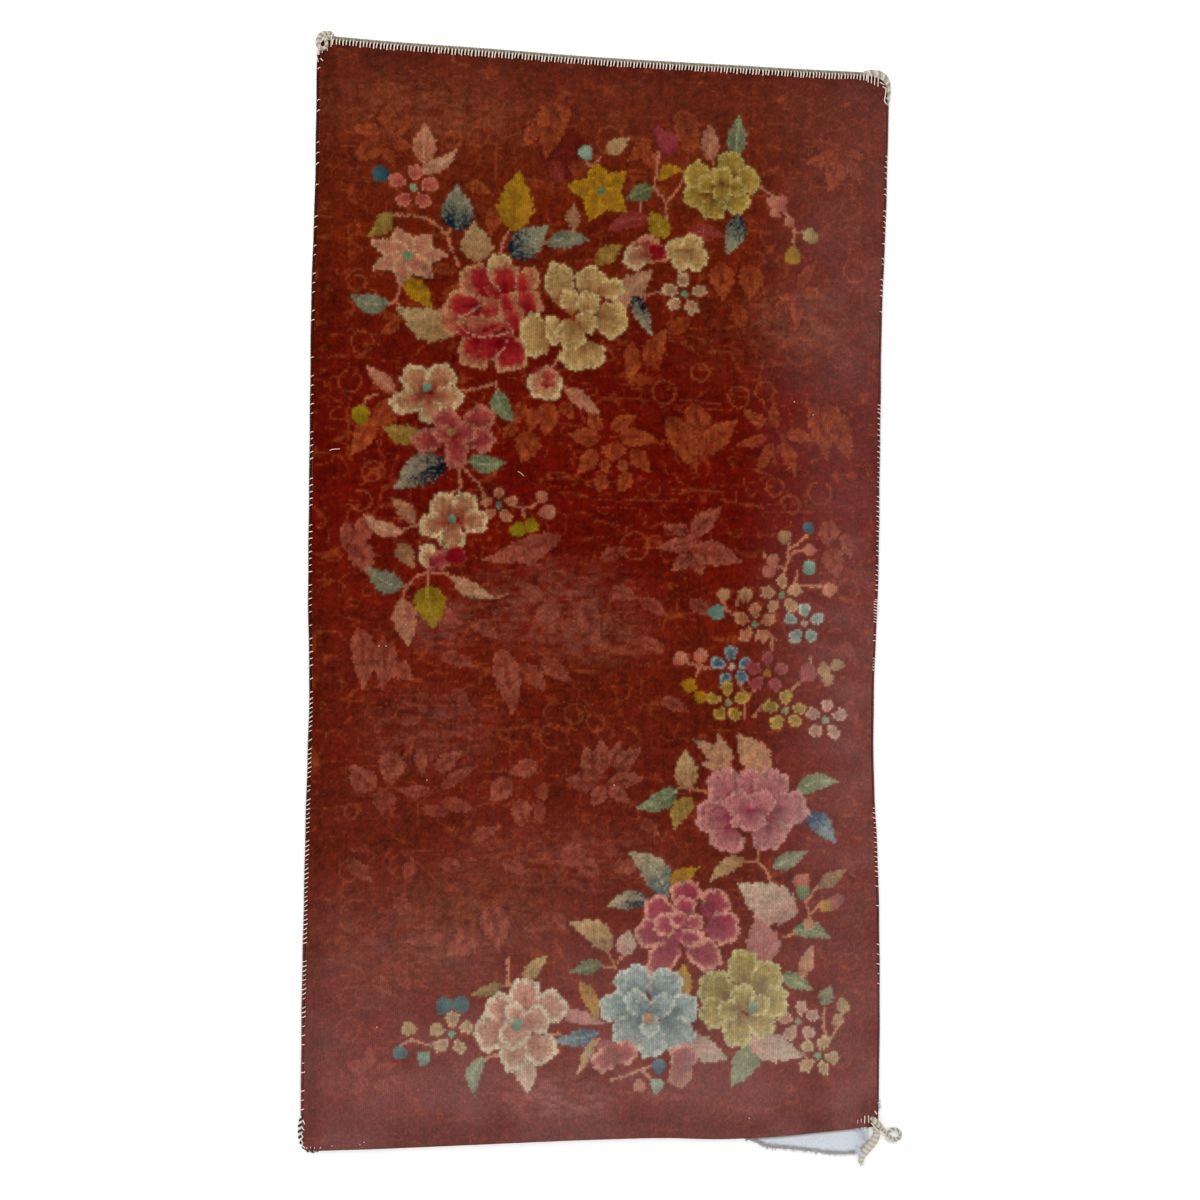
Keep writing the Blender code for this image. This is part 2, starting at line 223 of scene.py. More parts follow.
def value_noise(x, y, cell_x, cell_y, seed):
    """Soft blotches from 0 to 1, about cell_x wide and cell_y high."""
    size = 256
    lattice = np.random.default_rng(seed).random((size, size))
    u = x / cell_x + size / 2
    v = y / cell_y + size / 2
    i, j = np.floor(u).astype(int), np.floor(v).astype(int)
    a, b = smooth_step(u - i), smooth_step(v - j)
    low = lattice[i % size, j % size] * (1 - a) + lattice[(i + 1) % size, j % size] * a
    high = lattice[i % size, (j + 1) % size] * (1 - a) + lattice[(i + 1) % size, (j + 1) % size] * a
    return low * (1 - b) + high * b


def round_corner(x, y, corner_x, corner_y, radius):
    """Bends the square corner of the grid onto an arc, without moving what lies further in."""
    toward_x = np.sign(corner_x)
    toward_y = np.sign(corner_y)
    a = (x - (corner_x - toward_x * radius)) * toward_x
    b = (y - (corner_y - toward_y * radius)) * toward_y
    inside = (a > 0) & (b > 0)
    bent_a = a * np.sqrt(1.0 - 0.5 * np.clip(b / radius, 0.0, 1.0) ** 2)
    bent_b = b * np.sqrt(1.0 - 0.5 * np.clip(a / radius, 0.0, 1.0) ** 2)
    x = np.where(inside, x + (bent_a - a) * toward_x, x)
    return x, np.where(inside, y + (bent_b - b) * toward_y, y)


def outline_grid(rows, columns, inset):
    """Plan positions of a grid that fills the rug's outline, drawn in by inset, rows up the rug."""
    v, u = np.meshgrid(np.linspace(0, 1, rows + 1), np.linspace(0, 1, columns + 1), indexing="ij")
    y = (v - 0.5) * RUG_LENGTH
    for _ in range(3):  # the sides depend on y and the ends on x, so each is worked out again
        left = outer_left(y) + SIDE_CORD + inset
        right = outer_right(y) - SIDE_CORD - inset
        x = left + u * (right - left)
        low = pile_bottom(x) + inset - SIDE_GAP
        high = outer_top(x) - END_CORD - inset
        y = low + v * (high - low)
    for name, row, column in (("bl", 0, 0), ("br", 0, -1), ("tl", -1, 0), ("tr", -1, -1)):
        x, y = round_corner(x, y, x[row, column], y[row, column], CORNER_RADIUS[name])
    return x, y


def edge_distance(x, y):
    """Distance in from the nearest edge of the pile, over a grid."""
    sides = np.minimum(x - x[:, :1], x[:, -1:] - x)
    ends = np.minimum(y - y[:1], y[-1:] - y)
    return np.minimum(sides, ends)


def cell_middles(values):
    """The middle of each quad, from a grid of corner values."""
    return 0.25 * (values[:-1, :-1] + values[1:, :-1] + values[:-1, 1:] + values[1:, 1:])


knot_x, knot_y = outline_grid(KNOTS_UP, KNOTS_ACROSS, SIDE_GAP - LEAN_OUT)
knot_width = knot_x[0, 1] - knot_x[0, 0]
print("knots", KNOTS_ACROSS * KNOTS_UP, "each", round(1000 * knot_width, 2), "mm wide")

# %% [markdown]
# ## The wools
#
# An art deco rug of this kind has a rust-red ground and a few dozen dyes for its flowers. A dye
# here is two shades or more and the way they are mixed: a weaver shades a leaf by mixing tufts of
# two wools, so the change looks speckled close up. Colours are written as they look on the photo,
# from 0 to 255, and turned into the linear values that the shader adds light to.

# %% Dyes of the leaves, flowers and buds
def wool(red, green, blue):
    """A wool's linear colour, from how it looks in the photo."""
    seen = np.array([red, green, blue]) / 255
    return np.where(seen <= 0.04045, seen / 12.92, ((seen + 0.055) / 1.055) ** 2.4)


def dyes(kind, rows):
    """Dyes by name, from rows of a name, colours and shares."""
    return {
        name: kind(*(wool(*value) if isinstance(value, tuple) else value for value in values))
        for name, *values in rows
    }


LeafDye = namedtuple("LeafDye", "light dark rib mottle base side")
LEAF_DYES = dyes(LeafDye, (
    ("peach", (160, 102, 74), (122, 58, 36), (171, 114, 84), 0.3, 0.5, 0.15),
    ("pink cream", (160, 116, 84), (138, 74, 52), (172, 126, 96), 0.35, 0.35, 0.1),
    ("cream", (154, 122, 82), (122, 78, 44), (144, 98, 62), 0.3, 0.5, 0.15),
    ("olive", (134, 104, 46), (98, 62, 22), (126, 92, 42), 0.35, 0.3, 0.3),
    ("gold", (148, 104, 18), (112, 66, 8), (128, 82, 16), 0.35, 0.2, 0.2),
    ("yellow olive", (138, 106, 24), (102, 72, 8), (152, 122, 44), 0.45, 0.1, 0.1),
    ("teal", (112, 106, 82), (70, 72, 58), (132, 126, 98), 0.3, 0.3, 0.2),
    ("dark teal", (126, 118, 92), (2, 22, 38), (92, 104, 90), 0.5, 1.0, 0.25),
    ("green", (114, 114, 80), (58, 66, 44), (136, 136, 102), 0.35, 0.3, 0.25),
    ("leaf green", (96, 98, 60), (48, 56, 30), (124, 122, 82), 0.45, 0.2, 0.25),
    ("blue", (98, 110, 112), (0, 36, 72), (112, 122, 122), 0.4, 1.3, 0.1),
    ("night blue", (136, 118, 94), (2, 14, 30), (112, 108, 96), 0.6, 0.9, 0.6),
    ("mauve", (130, 50, 40), (102, 20, 20), (148, 72, 56), 0.5, 0.3, 0.1),
    ("dusty pink", (156, 96, 88), (130, 60, 62), (160, 100, 90), 0.5, 0.2, 0.0),
    ("tan", (136, 92, 62), (104, 62, 40), (142, 98, 66), 0.4, 0.2, 0.1),
    ("rose cream", (166, 138, 118), (146, 92, 82), (158, 118, 100), 0.35, 0.5, 0.25),
    ("slate", (136, 118, 92), (48, 66, 70), (146, 128, 100), 0.3, 0.9, 0.2),
))
FlowerDye = namedtuple("FlowerDye", "rim body deep heart rim_width depth")
FLOWER_DYES = dyes(FlowerDye, (
    ("crimson", (160, 104, 74), (146, 60, 48), (116, 12, 20), (120, 15, 26), 0.30, 0.7),
    ("crimson fold", (142, 52, 40), (138, 30, 30), (110, 4, 12), (150, 20, 36), 0.14, 0.75),
    ("tan", (158, 106, 72), (142, 78, 54), (130, 34, 32), (150, 20, 36), 0.26, 0.5),
    ("cream", (174, 146, 96), (158, 122, 74), (116, 70, 36), (142, 103, 59), 0.22, 0.6),
    ("olive", (158, 134, 72), (144, 114, 46), (98, 56, 8), (98, 68, 16), 0.24, 0.55),
    ("yellow", (166, 150, 98), (144, 122, 62), (104, 68, 14), (90, 106, 84), 0.25, 0.72),
    ("magenta", (172, 112, 96), (140, 48, 60), (114, 20, 44), (130, 36, 50), 0.26, 1.2),
    ("dusty pink", (162, 106, 98), (148, 86, 84), (106, 22, 44), (130, 50, 64), 0.28, 0.5),
    ("pale blue", (152, 154, 142), (124, 132, 128), (62, 80, 88), (156, 96, 84), 0.24, 0.68),
    ("salmon cream", (178, 156, 132), (158, 108, 90), (136, 66, 56), (96, 108, 90), 0.30, 0.6),
    ("crimson heart", (138, 60, 44), (124, 14, 24), (112, 4, 16), (150, 20, 36), 0.08, 1.0),
    ("rose", (150, 84, 66), (134, 52, 46), (108, 10, 24), (126, 93, 56), 0.3, 0.6),
    ("cream salmon", (176, 148, 108), (156, 106, 74), (124, 48, 32), (90, 114, 72), 0.28, 0.6),
    ("pink lily", (168, 125, 91), (163, 108, 81), (142, 68, 50), (96, 116, 78), 0.3, 0.75),
    ("gold star", (152, 108, 16), (141, 96, 13), (118, 71, 10), (90, 100, 52), 0.3, 0.6),
    ("salmon sprig", (163, 93, 69), (157, 81, 60), (120, 18, 35), (126, 126, 95), 0.2, 0.9),
    ("peach sprig", (165, 108, 76), (157, 97, 66), (134, 64, 42), (99, 114, 84), 0.2, 0.7),
    ("tan sprig", (160, 118, 84), (150, 104, 72), (120, 62, 39), (94, 106, 71), 0.3, 0.5),
    ("cream sprig", (164, 132, 96), (150, 112, 80), (122, 62, 44), (104, 124, 88), 0.3, 0.5),
    ("blue sprig", (138, 142, 124), (118, 126, 116), (44, 64, 76), (160, 122, 104), 0.3, 0.7),
    ("deep blue sprig", (120, 128, 122), (78, 96, 104), (8, 32, 58), (168, 130, 112), 0.3, 0.8),
    ("mauve sprig", (138, 62, 60), (130, 48, 50), (96, 18, 28), (149, 84, 29), 0.25, 0.6),
    ("olive sprig", (156, 122, 58), (142, 106, 40), (92, 54, 12), (140, 124, 84), 0.3, 0.6),
    ("rose sprig", (166, 124, 106), (156, 108, 94), (124, 60, 52), (116, 116, 96), 0.3, 0.5),
))
BudDye = namedtuple("BudDye", "light dark")
BUD_DYES = dyes(BudDye, (
    ("salmon", (163, 100, 76), (144, 64, 48)),
    ("peach", (162, 116, 81), (141, 85, 56)),
    ("cream", (155, 123, 78), (128, 91, 53)),
    ("gold", (152, 105, 14), (120, 73, 7)),
    ("lime", (131, 106, 16), (96, 76, 7)),
    ("teal", (102, 122, 102), (62, 90, 81)),
    ("pale teal", (123, 134, 112), (94, 112, 95)),
    ("blue", (59, 85, 94), (16, 50, 72)),
    ("night", (56, 82, 84), (13, 43, 60)),
    ("mauve", (130, 46, 48), (112, 26, 37)),
    ("pink", (157, 88, 69), (128, 46, 48)),
    ("olive heart", (126, 96, 58), (104, 74, 42)),
    ("crimson", (128, 23, 32), (106, 8, 22)),
    ("green", (90, 105, 66), (56, 76, 48)),
    ("tan", (142, 100, 66), (117, 70, 43)),
))
STEM_WOOL = wool(166, 98, 70)
GHOST_WOOL = wool(144, 66, 32)
GHOST_PINK = wool(146, 76, 56)
GHOST_DARK = wool(86, 8, 2)
SCROLL_WOOL = wool(142, 66, 36)
print(len(LEAF_DYES) + len(FLOWER_DYES) + len(BUD_DYES), "dyes")

# %% [markdown]
# ## Drawing on the knots
#
# Every motif is a rule that says which knots lie inside it and how deep their shade is. A leaf is
# a strip along a line that widens and closes to a point. A small flower is a ring of petals round
# a heart, and a large one is laid petal by petal. The rules are laid one over another, ground
# first and flowers last, as a painter would. Each knot has a number of its own, its grain, which
# decides how it takes a mixed shade, and a small shift of the place where it reads the design,
# which roughens the outlines.

# %% The chart
class Chart:
    """The knots as lists of places, with the wool and the motif of each."""

    def __init__(self, x, y):
        random = np.random.default_rng(11)
        self.x = (x + random.uniform(-0.3, 0.3, x.shape) * KNOT).ravel()
        self.y = (y + random.uniform(-0.3, 0.3, x.shape) * KNOT).ravel()
        self.grain = random.random(self.x.size)
        self.wool = np.zeros((self.x.size, 3))
        self.motif = np.zeros(self.x.size, int)
        self.motifs = 0

    def near(self, place, reach):
        """The knots within reach of a place, and how far each is from it along x and y."""
        knots = np.flatnonzero((np.abs(self.x - place[0]) < reach) & (np.abs(self.y - place[1]) < reach))
        return knots, self.x[knots] - place[0], self.y[knots] - place[1]

    def lay(self, knots, wools, strength=1.0):
        """Gives the knots these wools. Below full strength they only tint what is there."""
        if strength >= 1.0:
            self.wool[knots] = wools
            self.motif[knots] = self.motifs
        else:
            self.wool[knots] += (wools - self.wool[knots]) * strength

    def mixed(self, knots, light, dark, share, speckle=0.8):
        """Tufts of two wools: share says how dark, and each knot's grain speckles it."""
        t = np.clip(share + speckle * (self.grain[knots] - 0.5), 0.0, 1.0)[:, None]
        return light + (dark - light) * t


chart = Chart(cell_middles(knot_x), cell_middles(knot_y))
print("chart of", chart.x.size, "knots")

# %% Leaves, buds and lines
LEAF_WIDEST = 0.36  # how far along a leaf is widest
LEAF_TEETH = 5.2
RIB_END = 0.8  # how far along a leaf its midrib ends


def lay_strip(chart, base, tip, width, curl, profile, colour_of, strength=1.0):
    """A strip from base to tip: profile gives its half width along it, colour_of its wools."""
    along = tip - base
    length = math.hypot(*along)
    along = along / length
    knots, dx, dy = chart.near((base + tip) / 2, length * 0.62 + width)
    dx += (tip[0] - base[0]) / 2
    dy += (tip[1] - base[1]) / 2
    t = (dx * along[0] + dy * along[1]) / length
    s = (dy * along[0] - dx * along[1]) - curl * length * 4 * t * (1 - t)
    half = width / 2 * profile(np.clip(t, 0.0, 1.0))
    inside = (t > 0) & (t < 1) & (np.abs(s) < half)
    chosen = knots[inside]
    chart.motifs += 1
    chart.lay(chosen, colour_of(chosen, t[inside], s[inside] / width), strength)


def leaf_profile(t):
    """Round below, widest a third of the way up, then drawn out to a fine point, toothed."""
    below = np.sin(0.5 * math.pi * np.clip(t / LEAF_WIDEST, 0, 1)) ** 0.7
    above = np.cos(0.5 * math.pi * np.clip((t - LEAF_WIDEST) / (1 - LEAF_WIDEST), 0, 1)) ** 1.15
    teeth = 1.0 + 0.24 * (t * LEAF_TEETH % 1.0 - 0.5)
    return np.minimum(below, above) * teeth


def lay_leaf(chart, base, tip, width, curl, dye, strength=1.0):
    """A pointed leaf with a midrib, darker toward its base or along one side."""
    rib = 0.45 * KNOT / width

    def colour_of(knots, t, s):
        dark = dye.mottle * 0.5 + dye.base * (1.15 - 2.3 * t) + dye.side * np.sign(s) * 0.5
        dark = dark + 0.22 * np.cos(42 * (t - 0.9 * np.abs(s)))
        wools = chart.mixed(knots, dye.light, dye.dark, dark, 1.1)
        on_rib = (np.abs(s) < rib) & (t < RIB_END)
        wools[on_rib] += (dye.rib - wools[on_rib]) * 0.7
        return wools

    lay_strip(chart, base, tip, width, curl, leaf_profile, colour_of, strength)


def lay_bud(chart, place, size, tilt, dyes, strength=1.0):
    """A round bud, darker toward its foot, which the tilt turns away from straight down."""
    knots, dx, dy = chart.near(place, size)
    foot = np.array([math.sin(tilt), -math.cos(tilt)])
    down = (dx * foot[0] + dy * foot[1]) / size * 2
    aside = (dy * foot[0] - dx * foot[1]) / size * 2
    inside = np.hypot(down, aside * (1.15 + 0.25 * down)) < 1
    chosen = knots[inside]
    chart.motifs += 1
    chart.lay(chosen, chart.mixed(chosen, *dyes, 0.4 + 0.5 * down[inside]), strength)


def lay_line(chart, places, width, colour, strength=1.0):
    """A stem or an outline, about one knot wide, through these places."""
    chart.motifs += 1
    for start, end in zip(places, places[1:]):
        along = end - start
        length = math.hypot(*along) + 1e-9
        knots, dx, dy = chart.near((start + end) / 2, length / 2 + width)
        t = np.clip(((dx * along[0] + dy * along[1]) / length**2) + 0.5, 0.0, 1.0) - 0.5
        inside = np.hypot(dx - t * along[0], dy - t * along[1]) < width / 2
        chosen = knots[inside]
        chart.lay(chosen, chart.mixed(chosen, colour, colour * 0.6, 0.25), strength)


print("a leaf's width, from base to tip", leaf_profile(np.linspace(0.1, 0.9, 5)).round(2))

# %% Small flowers and single petals
# A ring of petals: how many, how far out, their half length and half width, and if they end in a point.
Ring = namedtuple("Ring", "count distance half_length half_width pointed")
FLOWER_KINDS = {
    "sprig": Ring(5, 0.66, 0.34, 0.27, False),
    "lily": Ring(7, 0.50, 0.52, 0.30, True),
    "five": Ring(5, 0.48, 0.54, 0.36, True),
}
HEART_SIZE = 0.13


def petal(out, across, ring, phase):
    """Where knots lie in a petal: 0 at its middle and 1 at its rim, and how far along it, -1 to 1."""
    a = (out - ring.distance) / ring.half_length
    if ring.pointed:
        t = np.clip((a + 1) / 2, 0.0, 1.0)
        half = ring.half_width * np.sin(math.pi * t**0.75) + 1e-6
        return np.where(np.abs(a) < 1, np.abs(across) / half, 2.0), a
    b = across / (ring.half_width * (1 + 0.22 * np.clip(a, -1, 1)))
    around = np.arctan2(b, a)
    ruffle = 1 + 0.07 * np.sin(5 * around + phase) + 0.04 * np.sin(11 * around)
    return np.hypot(a, b) / ruffle, a


def lay_flower(chart, place, width, height, turn, kind, dye, seed):
    """A flower as a ring of petals, each light at its rim and deep toward the middle."""
    random = np.random.default_rng(seed)
    knots, dx, dy = chart.near(place, 0.62 * max(width, height))
    u, v = dx / width * 2, dy / height * 2
    chart.motifs += 1
    ring = FLOWER_KINDS[kind]
    for i in range(ring.count):
        angle = math.radians(turn + 360 * (i + random.uniform(-0.12, 0.12)) / ring.count)
        grown = ring._replace(
            half_length=ring.half_length * random.uniform(0.9, 1.1),
            half_width=ring.half_width * random.uniform(0.9, 1.12),
        )
        out = u * math.cos(angle) + v * math.sin(angle)
        across = v * math.cos(angle) - u * math.sin(angle)
        q, a = petal(out, across, grown, random.uniform(0, 6))
        inside = q < 1
        streaks = 0.16 * np.cos(across[inside] / grown.half_width * 9)
        share = dye.depth * (0.42 - 0.62 * a[inside] - 0.35 * q[inside] ** 2) + streaks
        wools = chart.mixed(knots[inside], dye.body, dye.deep, share)
        rim = smooth_step((q[inside] - (1 - dye.rim_width * 1.5)) / dye.rim_width)[:, None]
        chart.lay(knots[inside], wools + (dye.rim - wools) * rim)
    heart = knots[np.hypot(u, v) < HEART_SIZE + 0.9 * KNOT / max(width, height)]
    chart.lay(heart, chart.mixed(heart, dye.heart, dye.heart * 0.7, 0.3))


USUAL_PETAL = 16 * PIXEL  # the half width of petal that a dye's rim width is a share of


def lay_petal(chart, place, half_length, half_width, turn, dye, seed):
    """One petal pointing toward turn: light round its outer rim, deep at its base."""
    random = np.random.default_rng(seed)
    knots, dx, dy = chart.near(place, 1.3 * max(half_length, half_width))
    angle = math.radians(turn)
    a = (dx * math.cos(angle) + dy * math.sin(angle)) / half_length
    b = (dy * math.cos(angle) - dx * math.sin(angle)) / half_width
    around = np.arctan2(b, a)
    lobes = 0.06 * np.sin(5 * around + random.uniform(0, 6))
    lobes += 0.04 * np.sin(9 * around + random.uniform(0, 6))
    q = np.hypot(a, b * (1 - 0.12 * np.clip(a, -1, 1))) / (1 + lobes)
    inside = q < 1
    chosen, a, b, q = knots[inside], a[inside], b[inside], q[inside]
    chart.motifs += 1
    share = dye.depth - 0.9 * (a + 0.4) - 0.3 * b * b + 0.12 * np.cos(9 * b)
    wools = chart.mixed(chosen, dye.body, dye.deep, share)
    rim = dye.rim_width * USUAL_PETAL / min(half_length, half_width)
    edge = smooth_step((q - (1 - 1.3 * rim)) / rim + 0.5 * (chart.grain[chosen] - 0.5))
    edge = (edge * smooth_step((a + 0.75) / 0.5))[:, None]
    chart.lay(chosen, wools + (dye.rim - wools) * edge)


print(len(FLOWER_KINDS), "kinds of small flower")

# %% [markdown]
# ## The ground
#
# The rust ground isn't one colour. The dye lots change in bands up the rug, and the bands carry painted
# light too: the ground is browner and darker at the top, and toward the foot and the right side it turns
# a lighter, hazier dusty pink, partly faded wool and partly painted sheen of the pile. Feet have worn a
# few patches pale. Bands are a short list of wools up the rug with a smooth curve between them, and
# noise in several sizes gives the streaks along the knot rows and the mottling.

# %% Bands, fading, painted light and wear of the ground
# Ground wools up the rug: dye lots, with painted light mixed into them.
BandRow = namedtuple("BandRow", "down red green blue")
DYE_BANDS_AND_LIGHT = [BandRow(*row) for row in (
    (40, 92, 26, 9), (90, 96, 32, 12), (170, 98, 30, 8), (300, 92, 22, 5), (430, 90, 12, 3),
    (540, 92, 14, 3), (650, 94, 22, 6), (780, 94, 24, 8), (920, 96, 28, 12), (1040, 94, 26, 14),
    (1140, 92, 26, 18),
)]
PatchRow = namedtuple("PatchRow", "across down wide high wool strength")
WORN = [PatchRow(*row) for row in (
    (550, 605, 90, 50, wool(138, 84, 66), 0.24),
    (600, 640, 60, 30, wool(138, 84, 66), 0.20),
    (430, 730, 70, 45, wool(128, 76, 66), 0.22),
    (440, 625, 40, 30, wool(128, 84, 70), 0.22),
    (560, 860, 130, 40, wool(132, 76, 64), 0.20),
    (560, 1100, 60, 26, wool(150, 100, 92), 0.35),
    (800, 320, 60, 40, wool(132, 82, 60), 0.26),
    (780, 340, 110, 60, wool(120, 60, 36), 0.20),
    (430, 110, 110, 35, wool(124, 62, 36), 0.46),
    (400, 950, 90, 60, wool(128, 74, 56), 0.25),
    (480, 920, 90, 50, wool(132, 80, 54), 0.22),
    (640, 500, 180, 60, wool(88, 6, 1), 0.30),
    (600, 350, 120, 60, wool(84, 6, 1), 0.50),
    (470, 330, 90, 90, wool(84, 8, 1), 0.30),
    (600, 225, 110, 30, wool(84, 8, 1), 0.35),
)]
# How far the lower end and the right side turn hazy: partly faded wool, partly painted sheen of the pile.
FadeAndLightRow = namedtuple("FadeAndLightRow", "down middle right")
FADE_AND_SHEEN = [FadeAndLightRow(*row) for row in (
    (40, 0.030, 0.09), (150, 0.010, 0.11), (300, 0.000, 0.17), (420, 0.000, 0.11), (520, 0.000, 0.14),
    (620, 0.004, 0.22), (700, 0.006, 0.22), (800, 0.015, 0.22), (880, 0.040, 0.20), (960, 0.130, 0.20),
    (1050, 0.220, 0.25), (1145, 0.290, 0.30),
)]
# The dusty pink the ground turns toward: partly faded wool, partly painted sheen.
FADED_AND_SHEEN_WOOL = wool(184, 130, 124)
# Painted light: how much lighter the motifs are made, down the middle and at the right.
PAINTED_LIGHT = [FadeAndLightRow(*row) for row in (
    (40, 1.00, 1.10), (300, 1.00, 1.10), (520, 1.00, 1.35), (640, 1.10, 1.45), (720, 1.20, 1.40),
    (800, 1.25, 1.35), (900, 1.30, 1.35), (1000, 1.30, 1.35), (1120, 1.30, 1.40),
)]
# The pale tone the motifs turn toward: partly bleached wool, partly painted sheen.
BLEACHED_AND_SHEEN_WOOL = wool(192, 186, 168)
# Painted light on the ground: darker toward the top, lighter toward the foot.
GROUND_DARK_DOWN_TO = 0.75
WORN_EDGE = 1.3  # how far past its size a worn patch fades out
BORDER_WIDTH = 0.050
BORDER_EDGE = 0.020
BORDER_SHADE = 0.16


def photo_row_y(down):
    """How far up the rug a row of the photo lies, half way across."""
    return rug_place(PHOTO_MIDDLE, down)[1]


def up_the_rug(rows, column, y):
    """A column of a table of photo rows, as a smooth curve up the rug."""
    rows = rows[::-1]  # the photo's rows run down, and y runs up
    heights = [photo_row_y(row.down) for row in rows]
    return smooth_through(heights, [getattr(row, column) for row in rows], y)


def lay_ground(chart):
    drift = chart.y + 0.05 * (value_noise(chart.x, chart.y, 0.20, 0.12, 5) - 0.5)
    bands = np.stack([up_the_rug(DYE_BANDS_AND_LIGHT, column, drift) for column in ("red", "green", "blue")], axis=1)
    chart.wool[:] = wool(*bands.T).T
    for number, row in enumerate(WORN):
        reach = WORN_EDGE * PIXEL * max(row.wide, row.high)
        knots, dx, dy = chart.near(rug_place(row.across, row.down), reach)
        far = np.hypot(dx / (row.wide * PIXEL), dy / (row.high * PIXEL))
        rough = value_noise(chart.x[knots], chart.y[knots], 0.014, 0.0045, 20 + number)
        share = row.strength * smooth_step(WORN_EDGE - far) * (2.2 * rough - 0.3)
        chart.wool[knots] += (row.wool - chart.wool[knots]) * np.clip(share, 0, 1)[:, None]


lay_ground(chart)
print("ground", chart.wool.mean(axis=0).round(3))


# %% Fading and painted light, borders, painted shade in the gaps, and mottling, which come last
def fade_and_paint_light(chart):
    """The lower end and the right side turn lighter and hazier toward a dusty pink, motifs and all: partly
    faded wool, partly painted light and sheen.
    """
    aside = smooth_step((chart.x - 0.20) / 0.22)
    painted_lift, share = (
        up_the_rug(rows, "middle", chart.y) * (1 - aside) + up_the_rug(rows, "right", chart.y) * aside
        for rows in (PAINTED_LIGHT, FADE_AND_SHEEN)
    )
    share *= 0.7 + 0.6 * value_noise(chart.x, chart.y, 0.05, 0.03, 9)
    spray = (chart.motif >= first_spray)[:, None]
    lower = smooth_step((GROUND_DARK_DOWN_TO - chart.y) / 0.55)
    # painted light: the motifs lightened from the table, the ground darker at the top; then the haze of
    # fading and painted sheen
    chart.wool *= np.where(spray, painted_lift[:, None], 0.93 + 0.17 * lower[:, None])
    chart.wool += (np.where(spray, BLEACHED_AND_SHEEN_WOOL, FADED_AND_SHEEN_WOOL) - chart.wool) * share[:, None]


def darken_borders(chart):
    """The plain border is a little darker than the field."""
    in_ends = np.minimum(chart.y - pile_bottom(chart.x), outer_top(chart.x) - chart.y)
    inner = np.minimum(chart.x - outer_left(chart.y), in_ends)
    inner = inner + 0.012 * (value_noise(chart.x, chart.y, 0.03, 0.03, 7) - 0.5)
    within = smooth_step((inner - BORDER_EDGE) / (BORDER_WIDTH - BORDER_EDGE))
    chart.wool *= (1 - BORDER_SHADE * (1 - within))[:, None]


# Painted deep shade in the pile where the stitches pull it down, below the top cord and round the plaits.
GAP_DEPTH = 0.0054  # how far the deep shade reaches below the top cord
GAP_SHADE = 0.88
DarkCorner = namedtuple("DarkCorner", "across down reach_x reach_y")
DARK_CORNERS = [DarkCorner(*row) for row in (
    (329, 38.5, 0.006, 0.004), (877, 79, 0.006, 0.005), (886.5, 93, 0.003, 0.014),
    (301.5, 1137, 0.0024, 0.020), (311, 1149.8, 0.010, 0.0014), (871.5, 1124.5, 0.004, 0.004),
)]


def darken_gaps(chart):
    """Painted deep shade where stitches pull the pile down: along the top, and at the corners."""
    from_top = outer_top(chart.x) - END_CORD - chart.y + 0.0014 * (chart.grain - 0.5)
    painted_gap_shade = 1 - smooth_step((from_top - GAP_DEPTH) / 0.002)
    for row in DARK_CORNERS:
        place = rug_place(row.across, row.down)
        far = np.hypot((chart.x - place[0]) / row.reach_x, (chart.y - place[1]) / row.reach_y)
        shaded = 1 - smooth_step((far + 0.4 * (chart.grain - 0.5) - 0.8) / 0.3)
        painted_gap_shade = np.maximum(painted_gap_shade, shaded)
    chart.wool *= (1 - GAP_SHADE * painted_gap_shade)[:, None]


Mottle = namedtuple("Mottle", "cell_x cell_y seed share")
MOTTLES = {
    "streaks": Mottle(0.030, 0.0045, 31, 0.26),
    "ribs": Mottle(0.0034, 0.035, 32, 0.36),
    "blotches": Mottle(0.009, 0.008, 33, 0.40),
    "clouds": Mottle(0.060, 0.045, 34, 0.26),
}
GRAIN_SHARE = 0.60


def mottle(chart):
    """Streaks along the rows, ribs along the warps, blotches and clouds, and each knot's own shade."""
    shade = 1.0
    for row in MOTTLES.values():
        shade = shade + row.share * (value_noise(chart.x, chart.y, row.cell_x, row.cell_y, row.seed) - 0.5)
    chart.wool *= (shade + GRAIN_SHARE * (chart.grain - 0.5))[:, None]


print(len(DARK_CORNERS), "dark corners,", len(MOTTLES), "noises")
